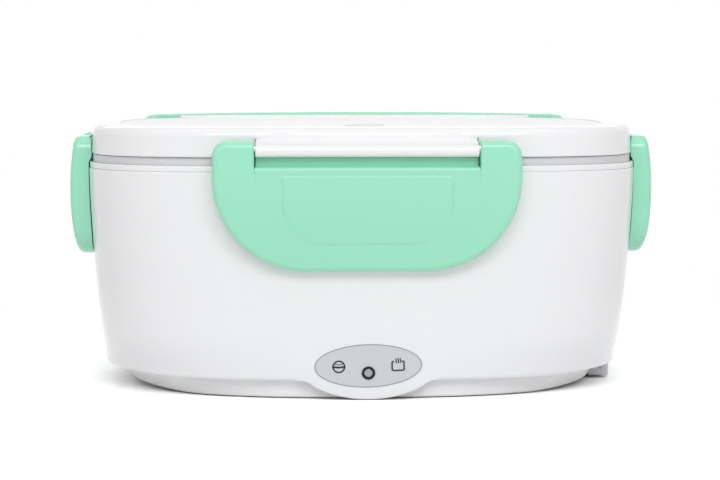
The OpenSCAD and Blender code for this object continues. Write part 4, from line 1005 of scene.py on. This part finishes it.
def stage():
    """A pale floor that keeps the object's shadow and fades to white in the distance, and a white surround. To
    the camera the floor is brighter than white, so only its shadow shows."""
    n = 3.0
    floor = bpy.data.meshes.new("floor")
    floor.from_pydata([(-n, -n, 0), (n, -n, 0), (n, n, 0), (-n, n, 0)], [], [(0, 1, 2, 3)])
    o = placed("floor", floor)
    m = bpy.data.materials.new("pale_floor")
    m.use_nodes = True
    t = m.node_tree
    t.nodes.remove(t.nodes["Principled BSDF"])
    glow = node(t, "Emission", s_Color=(1, 1, 1, 1), s_Strength=1.0)
    far = node(t, "VectorMath", [(0, node(t, "TexCoord").outputs["Object"])], operation="LENGTH").outputs["Value"]
    fade = node(t, "MapRange", [("Value", far)], s_From_Min=0.14, s_From_Max=0.34, interpolation_type="SMOOTHSTEP")
    seen = ray_is(t, "Is Camera Ray", "Is Glossy Ray")
    amount = maths(t, "MULTIPLY", [(0, seen), (1, fade.outputs[0])])
    level = maths(t, "MULTIPLY_ADD", [(0, seen)], s_1=FLOOR_LIFT, s_2=FLOOR_TONE)
    tone = node(t, "CombineColor", [("Red", level), ("Green", level), ("Blue", level)])
    lit = node(t, "BsdfDiffuse", [("Color", tone.outputs[0])])
    mix = node(t, "MixShader", [(0, amount), (1, lit.outputs[0]), (2, glow.outputs[0])])
    t.links.new(mix.outputs[0], t.nodes["Material Output"].inputs["Surface"])
    floor.materials.append(m)
    world = bpy.data.worlds.new("surround")
    bpy.context.scene.world = world
    world.use_nodes = True
    w = world.node_tree
    w.nodes.clear()
    soft = node(w, "Background", s_Color=(1, 1, 1, 1), s_Strength=0.5)
    white = node(w, "Background", s_Color=(1, 1, 1, 1), s_Strength=1.0)
    seen = ray_is(w, "Is Camera Ray", "Is Glossy Ray", "Is Transmission Ray")
    mix = node(w, "MixShader", [(0, seen), (1, soft.outputs[0]), (2, white.outputs[0])])
    node(w, "OutputWorld", [("Surface", mix.outputs[0])])


def softbox(name, place, size, power):
    """A rectangular area lamp at a place, turned to the middle of the object."""
    lamp = bpy.data.lights.new(name, "AREA")
    lamp.shape, lamp.size, lamp.size_y, lamp.energy = "RECTANGLE", size[0], size[1], power
    o = placed(name, lamp)
    o.location = place
    o.rotation_euler = (AIM - Vector(place)).to_track_quat("-Z", "Y").to_euler()


stage()
softbox("top_box", (0, -0.15, 0.95), (1.1, 0.8), 1.4)
softbox("back_box", (0, 1.15, 0.8), (1.2, 0.5), 2.6)
softbox("front_box", (0.05, -1.17, 0.9), (1.2, 0.5), 8.5)

camera = placed("camera", bpy.data.cameras.new("camera"))
bpy.context.scene.camera = camera
camera.data.sensor_width = SENSOR
camera.data.lens = FOCAL_PIXELS / PHOTO_PIXELS * SENSOR
camera.data.clip_start, camera.data.clip_end = 0.05, 20
camera.location = (-0.0361, -1.03, 0.1407)
camera.rotation_euler = (PI / 2 - np.radians(4.48), 0, -np.radians(2.06))
camera.data.shift_x = -0.0026
bpy.context.scene.view_settings.view_transform = "Standard"

bpy.context.view_layer.update()
